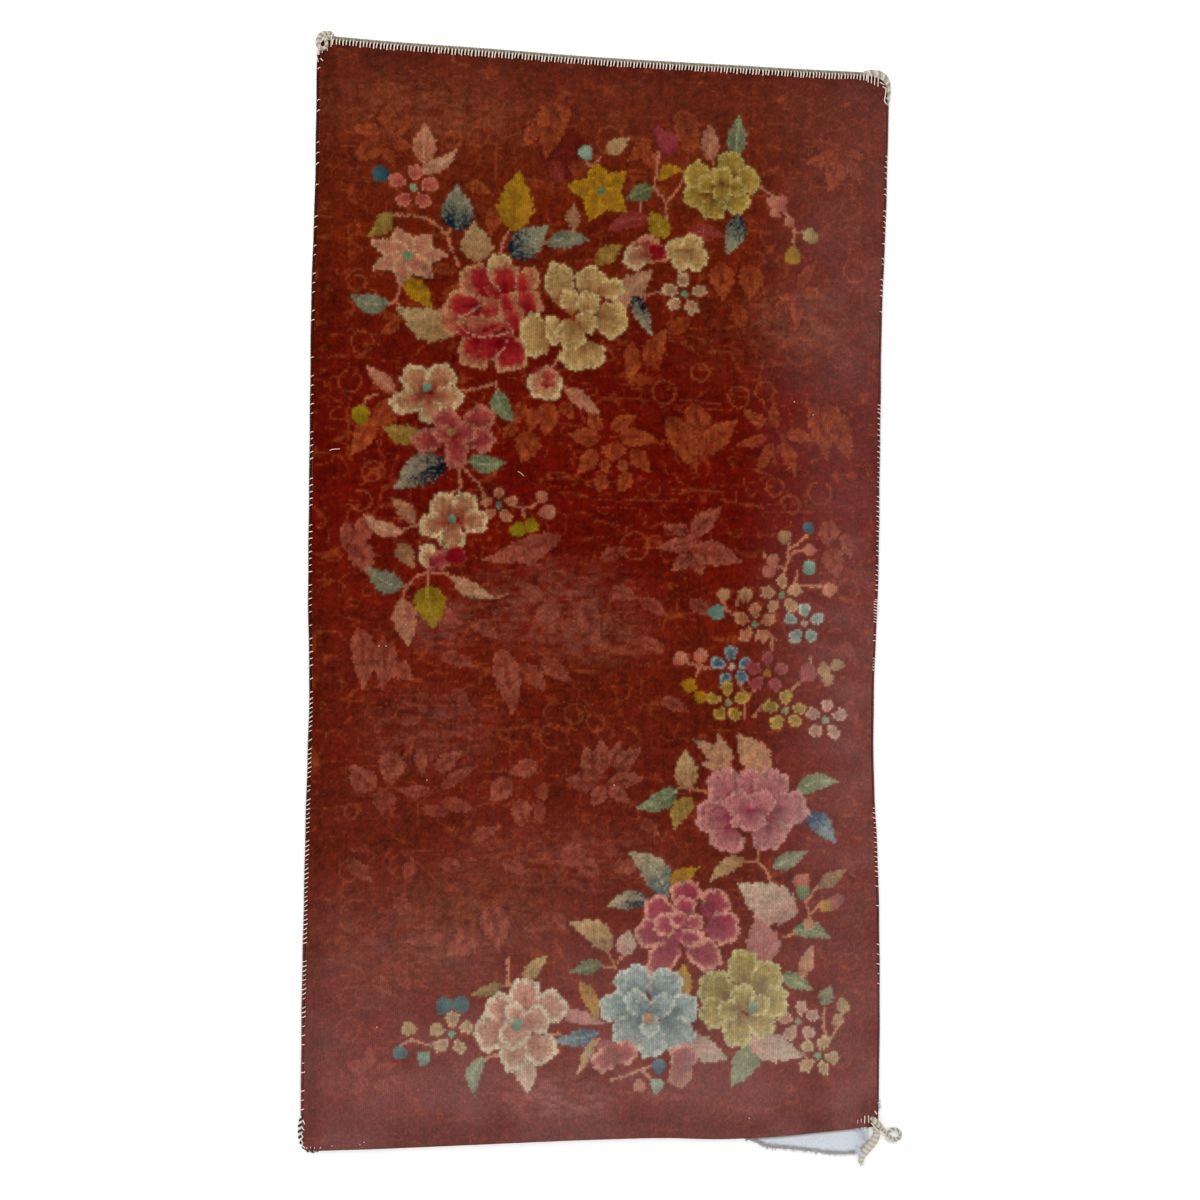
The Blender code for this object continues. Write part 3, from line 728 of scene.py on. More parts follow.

# %% [markdown]
# ## The tone-on-tone layer
#
# Under the bright sprays the ground is full of quiet ornament, in a rust only a little lighter
# than the field: lotus heads, long-petalled stars, pairs of broad leaves, and cloud scrolls drawn
# in one-knot lines. Each petal is a leaf shape laid as a tint, inside a slightly larger dark one
# that parts it from its neighbour. Places were read off the photo, in its pixels. Between
# them the whole field is filled with thin curling lines, which follow the level lines of a noise.

# %% Where the quiet petals, leaves and scrolls lie
QuietLeaf = namedtuple("QuietLeaf", "base_x base_y tip_x tip_y width")
CLEAR_LEAVES = [QuietLeaf(*row) for row in (
    (524, 402, 511, 426, 15), (548, 402, 545, 437, 22), (534, 408, 530, 432, 16),
    (530, 430, 522, 463, 26), (516, 422, 502, 438, 13), (600, 437, 568, 434, 20),
    (601, 429, 588, 411, 16), (611, 430, 637, 415, 15), (618, 436, 660, 442, 19),
    (630, 450, 650, 473, 18), (613, 442, 613, 462, 26), (596, 449, 577, 474, 18),
    (603, 459, 606, 474, 11), (620, 459, 626, 475, 11), (602, 474, 599, 493, 15),
    (628, 472, 620, 493, 16), (692, 402, 702, 457, 28), (668, 416, 697, 473, 28),
    (703, 453, 739, 419, 25), (632, 342, 629, 385, 17), (646, 366, 668, 328, 22),
    (776, 428, 774, 402, 13), (768, 425, 741, 408, 13), (768, 436, 735, 445, 12),
    (772, 442, 756, 473, 13), (783, 442, 796, 476, 15), (786, 434, 816, 441, 14),
    (812, 402, 828, 463, 24), (825, 404, 851, 463, 27), (700, 538, 655, 548, 17),
    (690, 530, 663, 525, 13), (692, 536, 724, 506, 20), (690, 550, 744, 563, 25),
    (692, 554, 702, 576, 17), (690, 554, 671, 571, 15), (562, 535, 479, 561, 24),
    (504, 548, 541, 567, 17), (830, 520, 826, 548, 22), (828, 546, 838, 580, 24),
    (842, 534, 852, 560, 14), (373, 514, 350, 546, 20), (352, 540, 371, 577, 24),
    (346, 520, 344, 550, 13), (396, 402, 368, 426, 24), (372, 418, 350, 456, 22),
    (552, 99, 545, 159, 31), (562, 100, 565, 130, 14), (535, 124, 524, 147, 15),
    (681, 108, 692, 161, 27), (649, 140, 628, 161, 15), (645, 149, 656, 173, 15),
    (383, 138, 350, 160, 21), (382, 130, 350, 126, 15), (388, 128, 388, 102, 19),
    (392, 134, 414, 117, 16), (392, 143, 414, 147, 12), (385, 147, 393, 166, 13),
    (842, 148, 803, 139, 13), (840, 154, 804, 163, 17), (846, 152, 868, 160, 11),
    (846, 158, 863, 186, 13), (838, 160, 828, 192, 22), (720, 262, 722, 301, 27),
    (750, 264, 750, 301, 27), (796, 292, 766, 320, 15), (799, 288, 817, 261, 13),
    (800, 292, 828, 297, 13), (796, 297, 796, 332, 15), (495, 204, 489, 237, 17),
    (465, 183, 494, 195, 13), (360, 627, 362, 692, 24), (384, 638, 382, 692, 24),
    (392, 664, 413, 681, 19), (500, 648, 512, 717, 28), (375, 790, 349, 764, 25),
    (392, 751, 388, 787, 27), (418, 747, 422, 779, 13), (436, 771, 463, 751, 17),
    (600, 780, 584, 744, 24), (604, 771, 602, 736, 18), (613, 767, 622, 739, 15),
    (615, 771, 642, 747, 19), (598, 781, 565, 780, 22), (606, 786, 646, 778, 18),
    (604, 786, 591, 806, 17), (608, 787, 631, 805, 15), (538, 763, 507, 773, 18),
    (510, 779, 489, 801, 23), (520, 799, 520, 829, 21), (445, 935, 404, 942, 15),
    (478, 930, 445, 956, 27), (490, 904, 499, 952, 29),
)]
FAINT_LEAVES = [QuietLeaf(*row) for row in (
    (430, 791, 397, 790, 13), (440, 790, 479, 765, 13), (448, 812, 419, 808, 13),
    (440, 802, 477, 812, 15), (385, 788, 381, 816, 23), (538, 784, 546, 801, 17),
    (535, 800, 541, 824, 15), (578, 158, 576, 183, 18), (430, 268, 463, 273, 12),
    (442, 300, 462, 284, 12), (478, 204, 488, 223, 10), (560, 912, 519, 933, 16),
    (552, 912, 566, 931, 12), (410, 950, 374, 969, 15), (612, 868, 636, 868, 17),
    (395, 898, 410, 918, 16), (396, 968, 410, 992, 15), (372, 978, 392, 996, 16),
    (368, 1072, 344, 1060, 13), (371, 1068, 369, 1046, 13), (375, 1073, 397, 1064, 13),
    (367, 1079, 349, 1094, 13), (375, 1080, 391, 1096, 13), (735, 302, 744, 334, 16),
    (690, 318, 664, 334, 15), (560, 402, 574, 421, 14), (440, 655, 478, 668, 14),
    (540, 660, 572, 684, 18), (520, 664, 546, 692, 20), (560, 600, 532, 622, 22),
    (578, 600, 598, 646, 26), (520, 588, 548, 602, 16), (600, 560, 632, 548, 14),
    (610, 590, 640, 600, 16), (430, 610, 462, 624, 17), (470, 620, 500, 640, 17),
    (640, 640, 666, 654, 16), (640, 600, 668, 616, 15), (690, 600, 714, 618, 15),
    (640, 860, 612, 872, 16), (470, 840, 500, 828, 14), (500, 860, 530, 876, 15),
    (408, 862, 410, 884, 15), (440, 862, 466, 872, 15), (560, 860, 590, 850, 24),
    (576, 864, 604, 876, 20), (840, 640, 856, 664, 14), (846, 700, 858, 726, 14),
    (640, 820, 660, 836, 14), (660, 700, 690, 712, 14), (452, 690, 470, 706, 14),
    (366, 300, 388, 316, 13), (842, 860, 856, 880, 12), (346, 860, 372, 884, 15),
    (400, 320, 380, 334, 12), (640, 1096, 690, 1100, 12), (850, 1050, 838, 1074, 13),
    (500, 1096, 530, 1104, 13),
)]
ScrollRow = namedtuple("ScrollRow", "across down radius start sweep close")
SCROLLS = [ScrollRow(*row) for row in (
    (455, 114, 10, 0, 340, 0.0), (478, 137, 10, 90, 330, 0.0), (453, 139, 8, 0, 360, 0.0),
    (851, 210, 12, 40, 400, 0.5), (849, 238, 12, 200, 300, 0.0), (855, 271, 12, 0, 360, 0.0),
    (358, 281, 12, 60, 420, 0.5), (362, 342, 11, 0, 330, 0.0), (350, 381, 11, 90, 300, 0.0),
    (372, 473, 13, 0, 450, 0.6), (361, 500, 10, 180, 300, 0.0), (800, 352, 14, 20, 330, 0.0),
    (739, 397, 11, 90, 360, 0.0), (765, 391, 10, 0, 300, 0.0), (840, 356, 12, 0, 330, 0.0),
    (635, 546, 14, 40, 360, 0.0), (775, 487, 9, 0, 360, 0.0), (820, 493, 12, 90, 330, 0.0),
    (790, 505, 10, 270, 250, 0.0), (440, 726, 12, 60, 500, 0.62), (396, 742, 16, 200, 160, 0.0),
    (575, 715, 13, 0, 430, 0.5), (596, 722, 9, 120, 300, 0.0), (552, 736, 12, 20, 280, 0.0),
    (352, 812, 9, 0, 400, 0.4), (402, 866, 12, 0, 360, 0.0), (350, 872, 12, 90, 400, 0.5),
    (536, 852, 10, 0, 360, 0.0), (356, 916, 16, 10, 320, 0.0), (350, 1000, 14, 0, 420, 0.5),
    (348, 1030, 11, 180, 360, 0.0), (664, 1010, 10, 0, 300, 0.0), (848, 590, 11, 0, 360, 0.0),
    (836, 640, 11, 60, 330, 0.0), (846, 806, 10, 0, 360, 0.0), (850, 960, 12, 100, 400, 0.5),
    (852, 1002, 12, 0, 330, 0.0), (664, 392, 12, 40, 340, 0.0), (700, 372, 9, 0, 360, 0.0),
    (610, 140, 14, 0, 300, 0.0),
)]
BARS = (  # each from across and down to across and down
    (486, 118, 502, 138), (502, 138, 525, 131), (496, 142, 496, 181), (515, 150, 515, 162),
    (682, 491, 722, 491), (631, 500, 678, 500), (782, 512, 814, 512), (790, 151, 812, 151),
    (812, 142, 832, 128), (350, 168, 350, 200), (350, 168, 366, 168), (350, 200, 366, 206),
    (349, 226, 349, 262), (360, 300, 348, 318), (364, 330, 348, 330), (852, 184, 852, 198),
    (836, 184, 852, 184), (862, 290, 862, 330), (842, 330, 862, 330), (348, 402, 348, 440),
    (384, 490, 400, 484), (408, 706, 460, 706), (460, 706, 471, 720), (471, 720, 468, 752),
    (468, 752, 452, 764), (372, 745, 412, 738), (505, 730, 530, 726), (530, 726, 548, 734),
    (480, 772, 506, 770), (584, 700, 604, 724), (400, 852, 442, 850), (416, 862, 440, 884),
    (352, 850, 372, 850), (500, 880, 540, 886), (596, 520, 620, 526), (650, 528, 664, 522),
    (756, 470, 772, 476), (708, 352, 730, 352), (730, 352, 742, 372), (680, 400, 720, 404),
    (840, 600, 862, 604), (830, 652, 852, 660), (720, 500, 760, 506), (440, 976, 480, 980),
    (344, 960, 362, 972), (600, 1090, 660, 1094), (690, 228, 712, 224), (752, 196, 768, 196),
    (756, 232, 772, 232),
)
DARK_RING = (562, 153, 54)  # across, down and size of a dark round behind the topmost petals
print(len(CLEAR_LEAVES) + len(FAINT_LEAVES), "quiet leaves,", len(SCROLLS) + len(BARS), "scroll lines")

# %% Laying the quiet layer
SCROLL_LINE = 0.0034
SCROLL_POINTS = 30
CLEAR, FAINT, SCROLLED, CURLED = 0.92, 0.66, 0.42, 0.38  # how strongly each kind tints the ground
QUIET_CURL = 0.04
QUIET_OUTLINE = 5  # how many photo pixels wider the dark shape behind a quiet petal is
QUIET_RIB = 0.09
PINK_BELOW = 500  # the photo row below which the quiet petals turn pinker
OUTLINE_DYE = LeafDye(GHOST_DARK, GHOST_DARK * 0.6, GHOST_DARK, 0.3, 0.0, 0.0)
QUIET_PATCHES = value_noise(chart.x, chart.y, 0.010, 0.010, 77)


def photo_line(row):
    """The places on the rug of a row of photo points, written as across and down in turn."""
    return [rug_place(*point) for point in zip(row[::2], row[1::2])]


CURLS = ((0.026, 0.017, 61), (0.038, 0.011, 62))  # the noises they follow: cell sizes and seed
CURL_WIDTH = 0.055


def lay_curls(chart):
    """Thin curling lines all over the field."""
    for cell_x, cell_y, seed in CURLS:
        noise = value_noise(chart.x, chart.y, cell_x, cell_y, seed)
        broken = smooth_step(3 * value_noise(chart.x, chart.y, 0.020, 0.020, seed + 9) - 0.9)
        line = smooth_step(1 - np.abs(noise - 0.5) / CURL_WIDTH) * broken * CURLED
        chart.wool += (GHOST_WOOL * 1.1 - chart.wool) * line[:, None]


def lay_quiet_leaf(chart, row, strength):
    """A worn, tinted petal: paler round its edge, dark along its midrib, pinker in the lower half."""
    base, tip = rug_place(row.base_x, row.base_y), rug_place(row.tip_x, row.tip_y)
    tint = GHOST_PINK if row.base_y > PINK_BELOW else GHOST_WOOL
    behind = (row.width + QUIET_OUTLINE) * PIXEL
    lay_leaf(chart, base, tip, behind, QUIET_CURL, OUTLINE_DYE, strength * 0.5)

    def colour_of(knots, t, s):
        under = chart.wool[knots]
        share = (0.50 + 0.35 * s * s + 0.2 * t) * (0.55 + 0.9 * QUIET_PATCHES[knots])
        share = np.where((np.abs(s) < QUIET_RIB) & (t < 0.6), 0.3, share) * strength
        return under + (tint - under) * np.clip(share, 0, 1)[:, None]

    lay_strip(chart, base, tip, row.width * PIXEL, QUIET_CURL, leaf_profile, colour_of)


def lay_ghosts(chart):
    lay_curls(chart)
    for row in SCROLLS:
        middle = rug_place(row.across, row.down)
        angles = np.radians(np.linspace(row.start, row.start + row.sweep, SCROLL_POINTS))
        radius = row.radius * PIXEL * np.linspace(1, 1 - row.close, SCROLL_POINTS)
        points = middle + np.stack([np.cos(angles) * radius, np.sin(angles) * radius], axis=1)
        lay_line(chart, points, SCROLL_LINE, SCROLL_WOOL, SCROLLED)
    for row in BARS:
        lay_line(chart, photo_line(row), SCROLL_LINE, SCROLL_WOOL, SCROLLED)
    across, down, size = DARK_RING
    lay_bud(chart, rug_place(across, down), size * PIXEL, 0.0, (GHOST_DARK, wool(70, 14, 14)), 0.7)
    for rows, strength in ((FAINT_LEAVES, FAINT), (CLEAR_LEAVES, CLEAR)):
        for row in rows:
            lay_quiet_leaf(chart, row, strength)
    lay_leaf(chart, rug_place(552, 160), rug_place(563, 184), 16 * PIXEL, 0.0, LEAF_DYES["mauve"], 0.6)


lay_ghosts(chart)
print("ground with its quiet layer", chart.wool.mean(axis=0).round(3))

# %% [markdown]
# ## The two sprays
#
# A large spray fills the upper left and another the lower right, as is usual on these rugs. Stems
# go on first, then leaves and buds, then the flowers, so that each covers what it grows over.
# These are ordinary peonies, lilies and plum blossoms. Each small one is only a place, a size, a
# turn, a kind and a dye, and each petal of a large one a place, a size, a turn and a dye.

# %% Stems
STEMS = (  # each through points across and down in turn
    (391, 215, 410, 215, 427, 218, 440, 228, 447, 236, 452, 250, 459, 266),
    (447, 236, 452, 226, 457, 222), (425, 162, 424, 172), (412, 262, 404, 276, 396, 300, 386, 305),
    (398, 304, 399, 316), (511, 226, 504, 240, 498, 262), (540, 242, 566, 246), (573, 226, 576, 240),
    (586, 160, 590, 166, 600, 158), (659, 152, 657, 172, 654, 187, 660, 194, 666, 202, 667, 224),
    (684, 178, 676, 192, 667, 202), (640, 197, 640, 208, 644, 222), (620, 226, 650, 222),
    (713, 158, 714, 164), (741, 150, 738, 162),
    (759, 186, 768, 192, 778, 198, 784, 210, 792, 222, 795, 232, 808, 232), (794, 230, 794, 250),
    (642, 306, 646, 296, 656, 292, 672, 294), (630, 258, 650, 262, 668, 260),
    (460, 391, 476, 389, 490, 385, 497, 381), (496, 383, 498, 392), (394, 392, 404, 396),
    (378, 394, 366, 398, 362, 408), (546, 378, 554, 366, 560, 352), (562, 384, 568, 392),
    (458, 462, 460, 480, 460, 497), (460, 464, 470, 474, 479, 484, 486, 498), (460, 460, 472, 461),
    (460, 488, 450, 494), (421, 434, 430, 436), (401, 532, 405, 528, 414, 526, 422, 524),
    (414, 522, 420, 526), (516, 507, 530, 508, 536, 504, 542, 498), (523, 508, 524, 516),
    (400, 588, 410, 584, 416, 576, 428, 572, 448, 574), (410, 584, 404, 592, 401, 604),
    (428, 572, 428, 588), (446, 574, 454, 580), (495, 598, 508, 594),
    (808, 535, 796, 545, 788, 549, 788, 558, 786, 568, 784, 574), (789, 537, 789, 549),
    (806, 549, 792, 553, 787, 562), (764, 554, 768, 562, 776, 566, 784, 568),
    (798, 570, 797, 578, 794, 584, 808, 586, 822, 586), (716, 607, 728, 610, 732, 614, 744, 614),
    (720, 596, 726, 608), (740, 592, 737, 606), (776, 640, 766, 632, 758, 634, 756, 640),
    (768, 630, 772, 640, 772, 650), (686, 662, 698, 666, 704, 668, 714, 668),
    (702, 656, 701, 666, 696, 676), (736, 676, 740, 684, 745, 694, 745, 718),
    (758, 680, 754, 690, 746, 698), (770, 700, 760, 708, 753, 718),
    (792, 690, 800, 682, 808, 678, 811, 668, 811, 656), (690, 789, 678, 788, 700, 790, 714, 796),
    (688, 788, 690, 776), (760, 845, 758, 856, 758, 863, 766, 870, 770, 880), (758, 862, 744, 862),
    (804, 900, 808, 908, 810, 920, 809, 934), (824, 886, 816, 888, 812, 896, 806, 902),
    (810, 915, 820, 904), (794, 934, 782, 938), (804, 978, 802, 972),
    (492, 986, 502, 986, 510, 985, 520, 990), (508, 985, 508, 958), (524, 980, 525, 990),
    (606, 950, 612, 960, 616, 968, 598, 966), (625, 954, 618, 962), (452, 1028, 452, 1020),
    (502, 1054, 490, 1057, 481, 1062), (546, 1036, 560, 1034), (526, 1060, 526, 1066),
    (598, 1040, 592, 1052, 584, 1066, 578, 1074), (612, 1080, 626, 1076, 640, 1070, 654, 1066),
    (644, 1072, 650, 1078, 654, 1084), (843, 1014, 832, 1038, 822, 1036),
    (826, 1036, 824, 1028, 824, 1008), (692, 1038, 698, 1030), (756, 1048, 748, 1050, 744, 1052),
    (400, 1046, 412, 1040, 430, 1046, 440, 1040), (788, 1052, 800, 1052, 806, 1056),
)
STEM_WIDTH = 0.0040
print(len(STEMS), "stems")

# %% Leaves
Leaf = namedtuple("Leaf", "base_x base_y tip_x tip_y width curl dye")
LEAVES = [Leaf(*row) for row in (
    (424, 163, 425, 121, 23, 0.0, "peach"), (419, 171, 459, 147, 14, -0.10, "pink cream"),
    (391, 212, 367, 236, 18, 0.10, "olive"), (457, 231, 457, 183, 33, 0.0, "dark teal"),
    (402, 278, 434, 310, 20, 0.05, "gold"), (389, 303, 349, 293, 20, 0.14, "teal"),
    (458, 328, 396, 306, 34, 0.10, "cream"), (513, 231, 519, 169, 36, 0.0, "gold"),
    (478, 262, 474, 221, 32, 0.0, "cream"), (510, 256, 549, 225, 30, 0.0, "dark teal"),
    (547, 244, 592, 240, 18, 0.08, "teal"), (573, 229, 575, 203, 15, 0.05, "tan"),
    (606, 153, 630, 137, 16, 0.0, "cream"), (653, 187, 625, 199, 18, 0.0, "leaf green"),
    (658, 180, 686, 172, 13, 0.22, "gold"), (711, 161, 709, 121, 19, 0.0, "peach"),
    (735, 156, 740, 114, 20, 0.0, "green"), (666, 238, 650, 210, 22, 0.0, "yellow olive"),
    (650, 219, 606, 233, 18, -0.12, "mauve"), (684, 238, 727, 238, 18, 0.16, "mauve"),
    (596, 264, 624, 245, 18, 0.05, "olive"), (614, 304, 653, 269, 28, 0.0, "pink cream"),
    (633, 294, 652, 336, 16, 0.0, "night blue"), (739, 215, 726, 255, 22, 0.06, "dark teal"),
    (395, 393, 365, 364, 15, 0.0, "peach"), (421, 435, 381, 425, 20, 0.10, "olive"),
    (496, 391, 515, 422, 19, -0.10, "green"), (566, 388, 601, 415, 16, 0.0, "peach"),
    (447, 460, 393, 490, 32, -0.06, "night blue"), (468, 460, 507, 461, 19, -0.10, "green"),
    (414, 523, 390, 497, 16, -0.06, "peach"), (404, 533, 362, 513, 15, 0.12, "pink cream"),
    (398, 544, 415, 568, 18, 0.0, "tan"), (403, 588, 366, 567, 22, 0.08, "teal"),
    (427, 585, 434, 629, 32, 0.0, "yellow olive"), (402, 598, 409, 648, 24, 0.0, "peach"),
    (452, 576, 497, 598, 16, -0.08, "pink cream"), (728, 768, 692, 739, 16, -0.06, "pink cream"),
    (724, 772, 718, 733, 18, -0.06, "pink cream"), (724, 766, 700, 762, 11, 0.06, "pink cream"),
    (768, 774, 737, 733, 32, 0.0, "pink cream"), (687, 790, 685, 748, 24, 0.0, "cream"),
    (678, 789, 634, 808, 20, 0.10, "green"), (692, 797, 675, 832, 20, -0.12, "olive"),
    (796, 792, 840, 782, 19, 0.12, "green"), (806, 812, 837, 845, 21, 0.06, "blue"),
    (773, 868, 808, 851, 17, 0.0, "teal"), (745, 859, 709, 883, 16, -0.10, "cream"),
    (668, 897, 626, 851, 28, -0.12, "slate"), (669, 883, 700, 867, 17, 0.0, "gold"),
    (650, 901, 606, 907, 19, -0.08, "night blue"), (797, 914, 737, 883, 42, 0.04, "rose cream"),
    (820, 886, 846, 870, 15, 0.0, "tan"), (822, 909, 848, 896, 12, 0.0, "mauve"),
    (793, 931, 831, 940, 18, 0.14, "green"), (768, 963, 756, 916, 36, 0.0, "dusty pink"),
    (612, 951, 567, 923, 24, -0.14, "cream"), (624, 956, 629, 929, 20, 0.0, "rose cream"),
    (682, 1002, 684, 962, 20, 0.0, "gold"), (782, 974, 814, 991, 16, 0.0, "green"),
    (802, 978, 813, 944, 15, 0.0, "peach"), (822, 1006, 832, 984, 16, 0.0, "teal"),
    (690, 1038, 730, 1059, 24, -0.08, "rose cream"), (756, 1044, 731, 1088, 27, 0.0, "green"),
    (748, 1040, 804, 1057, 30, 0.0, "rose cream"), (502, 984, 470, 995, 12, 0.05, "olive"),
    (524, 982, 549, 955, 15, 0.06, "cream"), (602, 964, 570, 972, 15, 0.0, "leaf green"),
    (580, 982, 599, 1023, 15, 0.05, "gold"), (599, 1033, 550, 1042, 16, 0.04, "blue"),
    (483, 1057, 475, 1097, 16, -0.16, "green"), (526, 1062, 528, 1093, 21, 0.0, "rose cream"),
    (560, 1012, 604, 1024, 14, 0.0, "dusty pink"),
    (594, 1039, 577, 1075, 8, 0.0, "cream"),
)]
print(len(LEAVES), "leaves of", len({row.dye for row in LEAVES}), "dyes")

# %% Buds
Bud = namedtuple("Bud", "across down size tilt dye")
BUDS = [Bud(*row) for row in (
    (381, 174, 18, 90, "night"), (586, 153, 15, 20, "pale teal"), (658, 131, 10, 300, "mauve"),
    (668, 143, 24, 20, "mauve"), (811, 236, 17, 70, "cream"), (793, 255, 19, 180, "gold"),
    (773, 202, 13, 60, "salmon"), (784, 200, 11, 40, "pink"), (776, 213, 12, 50, "salmon"),
    (790, 222, 12, 40, "salmon"), (783, 208, 10, 40, "pink"), (361, 415, 20, 10, "lime"),
    (540, 376, 20, 0, "crimson"), (542, 497, 13, 10, "salmon"), (547, 512, 17, 270, "salmon"),
    (518, 529, 16, 150, "lime"), (531, 525, 15, 200, "lime"), (809, 528, 13, 30, "night"),
    (785, 537, 15, 10, "tan"), (810, 550, 14, 80, "pink"), (809, 568, 15, 0, "teal"),
    (774, 560, 13, 30, "salmon"), (770, 571, 15, 80, "pink"), (830, 590, 16, 90, "salmon"),
    (724, 595, 14, 20, "peach"), (746, 595, 15, 340, "peach"), (716, 612, 18, 270, "teal"),
    (680, 659, 16, 300, "salmon"), (701, 656, 16, 340, "salmon"), (689, 685, 16, 270, "gold"),
    (700, 697, 14, 240, "gold"), (824, 669, 15, 180, "tan"), (838, 665, 14, 90, "tan"),
    (828, 680, 14, 0, "tan"), (808, 672, 20, 180, "mauve"), (802, 883, 20, 0, "pink"),
    (803, 893, 15, 0, "green"), (826, 906, 14, 90, "gold"), (838, 900, 14, 90, "mauve"),
    (809, 924, 13, 180, "peach"), (843, 1006, 15, 210, "cream"), (838, 1021, 14, 300, "peach"),
    (444, 1006, 18, 330, "night"), (461, 1005, 18, 30, "night"), (409, 1029, 15, 80, "cream"),
    (400, 1053, 15, 90, "night"), (424, 1059, 15, 0, "teal"), (659, 1067, 16, 0, "blue"),
    (657, 1086, 15, 0, "pale teal"), (606, 1050, 20, 0, "crimson"), (628, 1056, 16, 60, "crimson"),
    (640, 1086, 14, 60, "pink"),
)]
print(len(BUDS), "buds")

# %% Flowers
Flower = namedtuple("Flower", "across down width height turn kind dye seed")
FLOWERS = [Flower(*row) for row in (
    (413, 187, 52, 46, 90, "sprig", "salmon sprig", 3), (408, 255, 80, 58, 0, "lily", "pink lily", 4),
    (601, 191, 66, 62, 36, "five", "gold star", 5), (685, 294, 46, 44, 90, "sprig", "cream sprig", 9),
    (499, 505, 40, 36, 90, "sprig", "peach sprig", 16), (782, 595, 44, 42, 90, "sprig", "tan sprig", 18),
    (755, 624, 44, 42, 90, "sprig", "peach sprig", 19), (804, 624, 46, 44, 90, "sprig", "blue sprig", 20),
    (732, 667, 44, 42, 90, "sprig", "deep blue sprig", 21),
    (767, 673, 46, 44, 90, "sprig", "mauve sprig", 22), (728, 702, 46, 42, 90, "sprig", "olive sprig", 23),
    (785, 711, 46, 42, 90, "sprig", "olive sprig", 24), (826, 720, 46, 44, 90, "sprig", "rose sprig", 25),
    (452, 1034, 46, 44, 90, "sprig", "cream sprig", 33),
    (799, 1022, 46, 42, 90, "sprig", "rose sprig", 34),
    (818, 1056, 46, 42, 70, "sprig", "cream sprig", 35),
)]
Petal = namedtuple("Petal", "across down long wide turn dye")
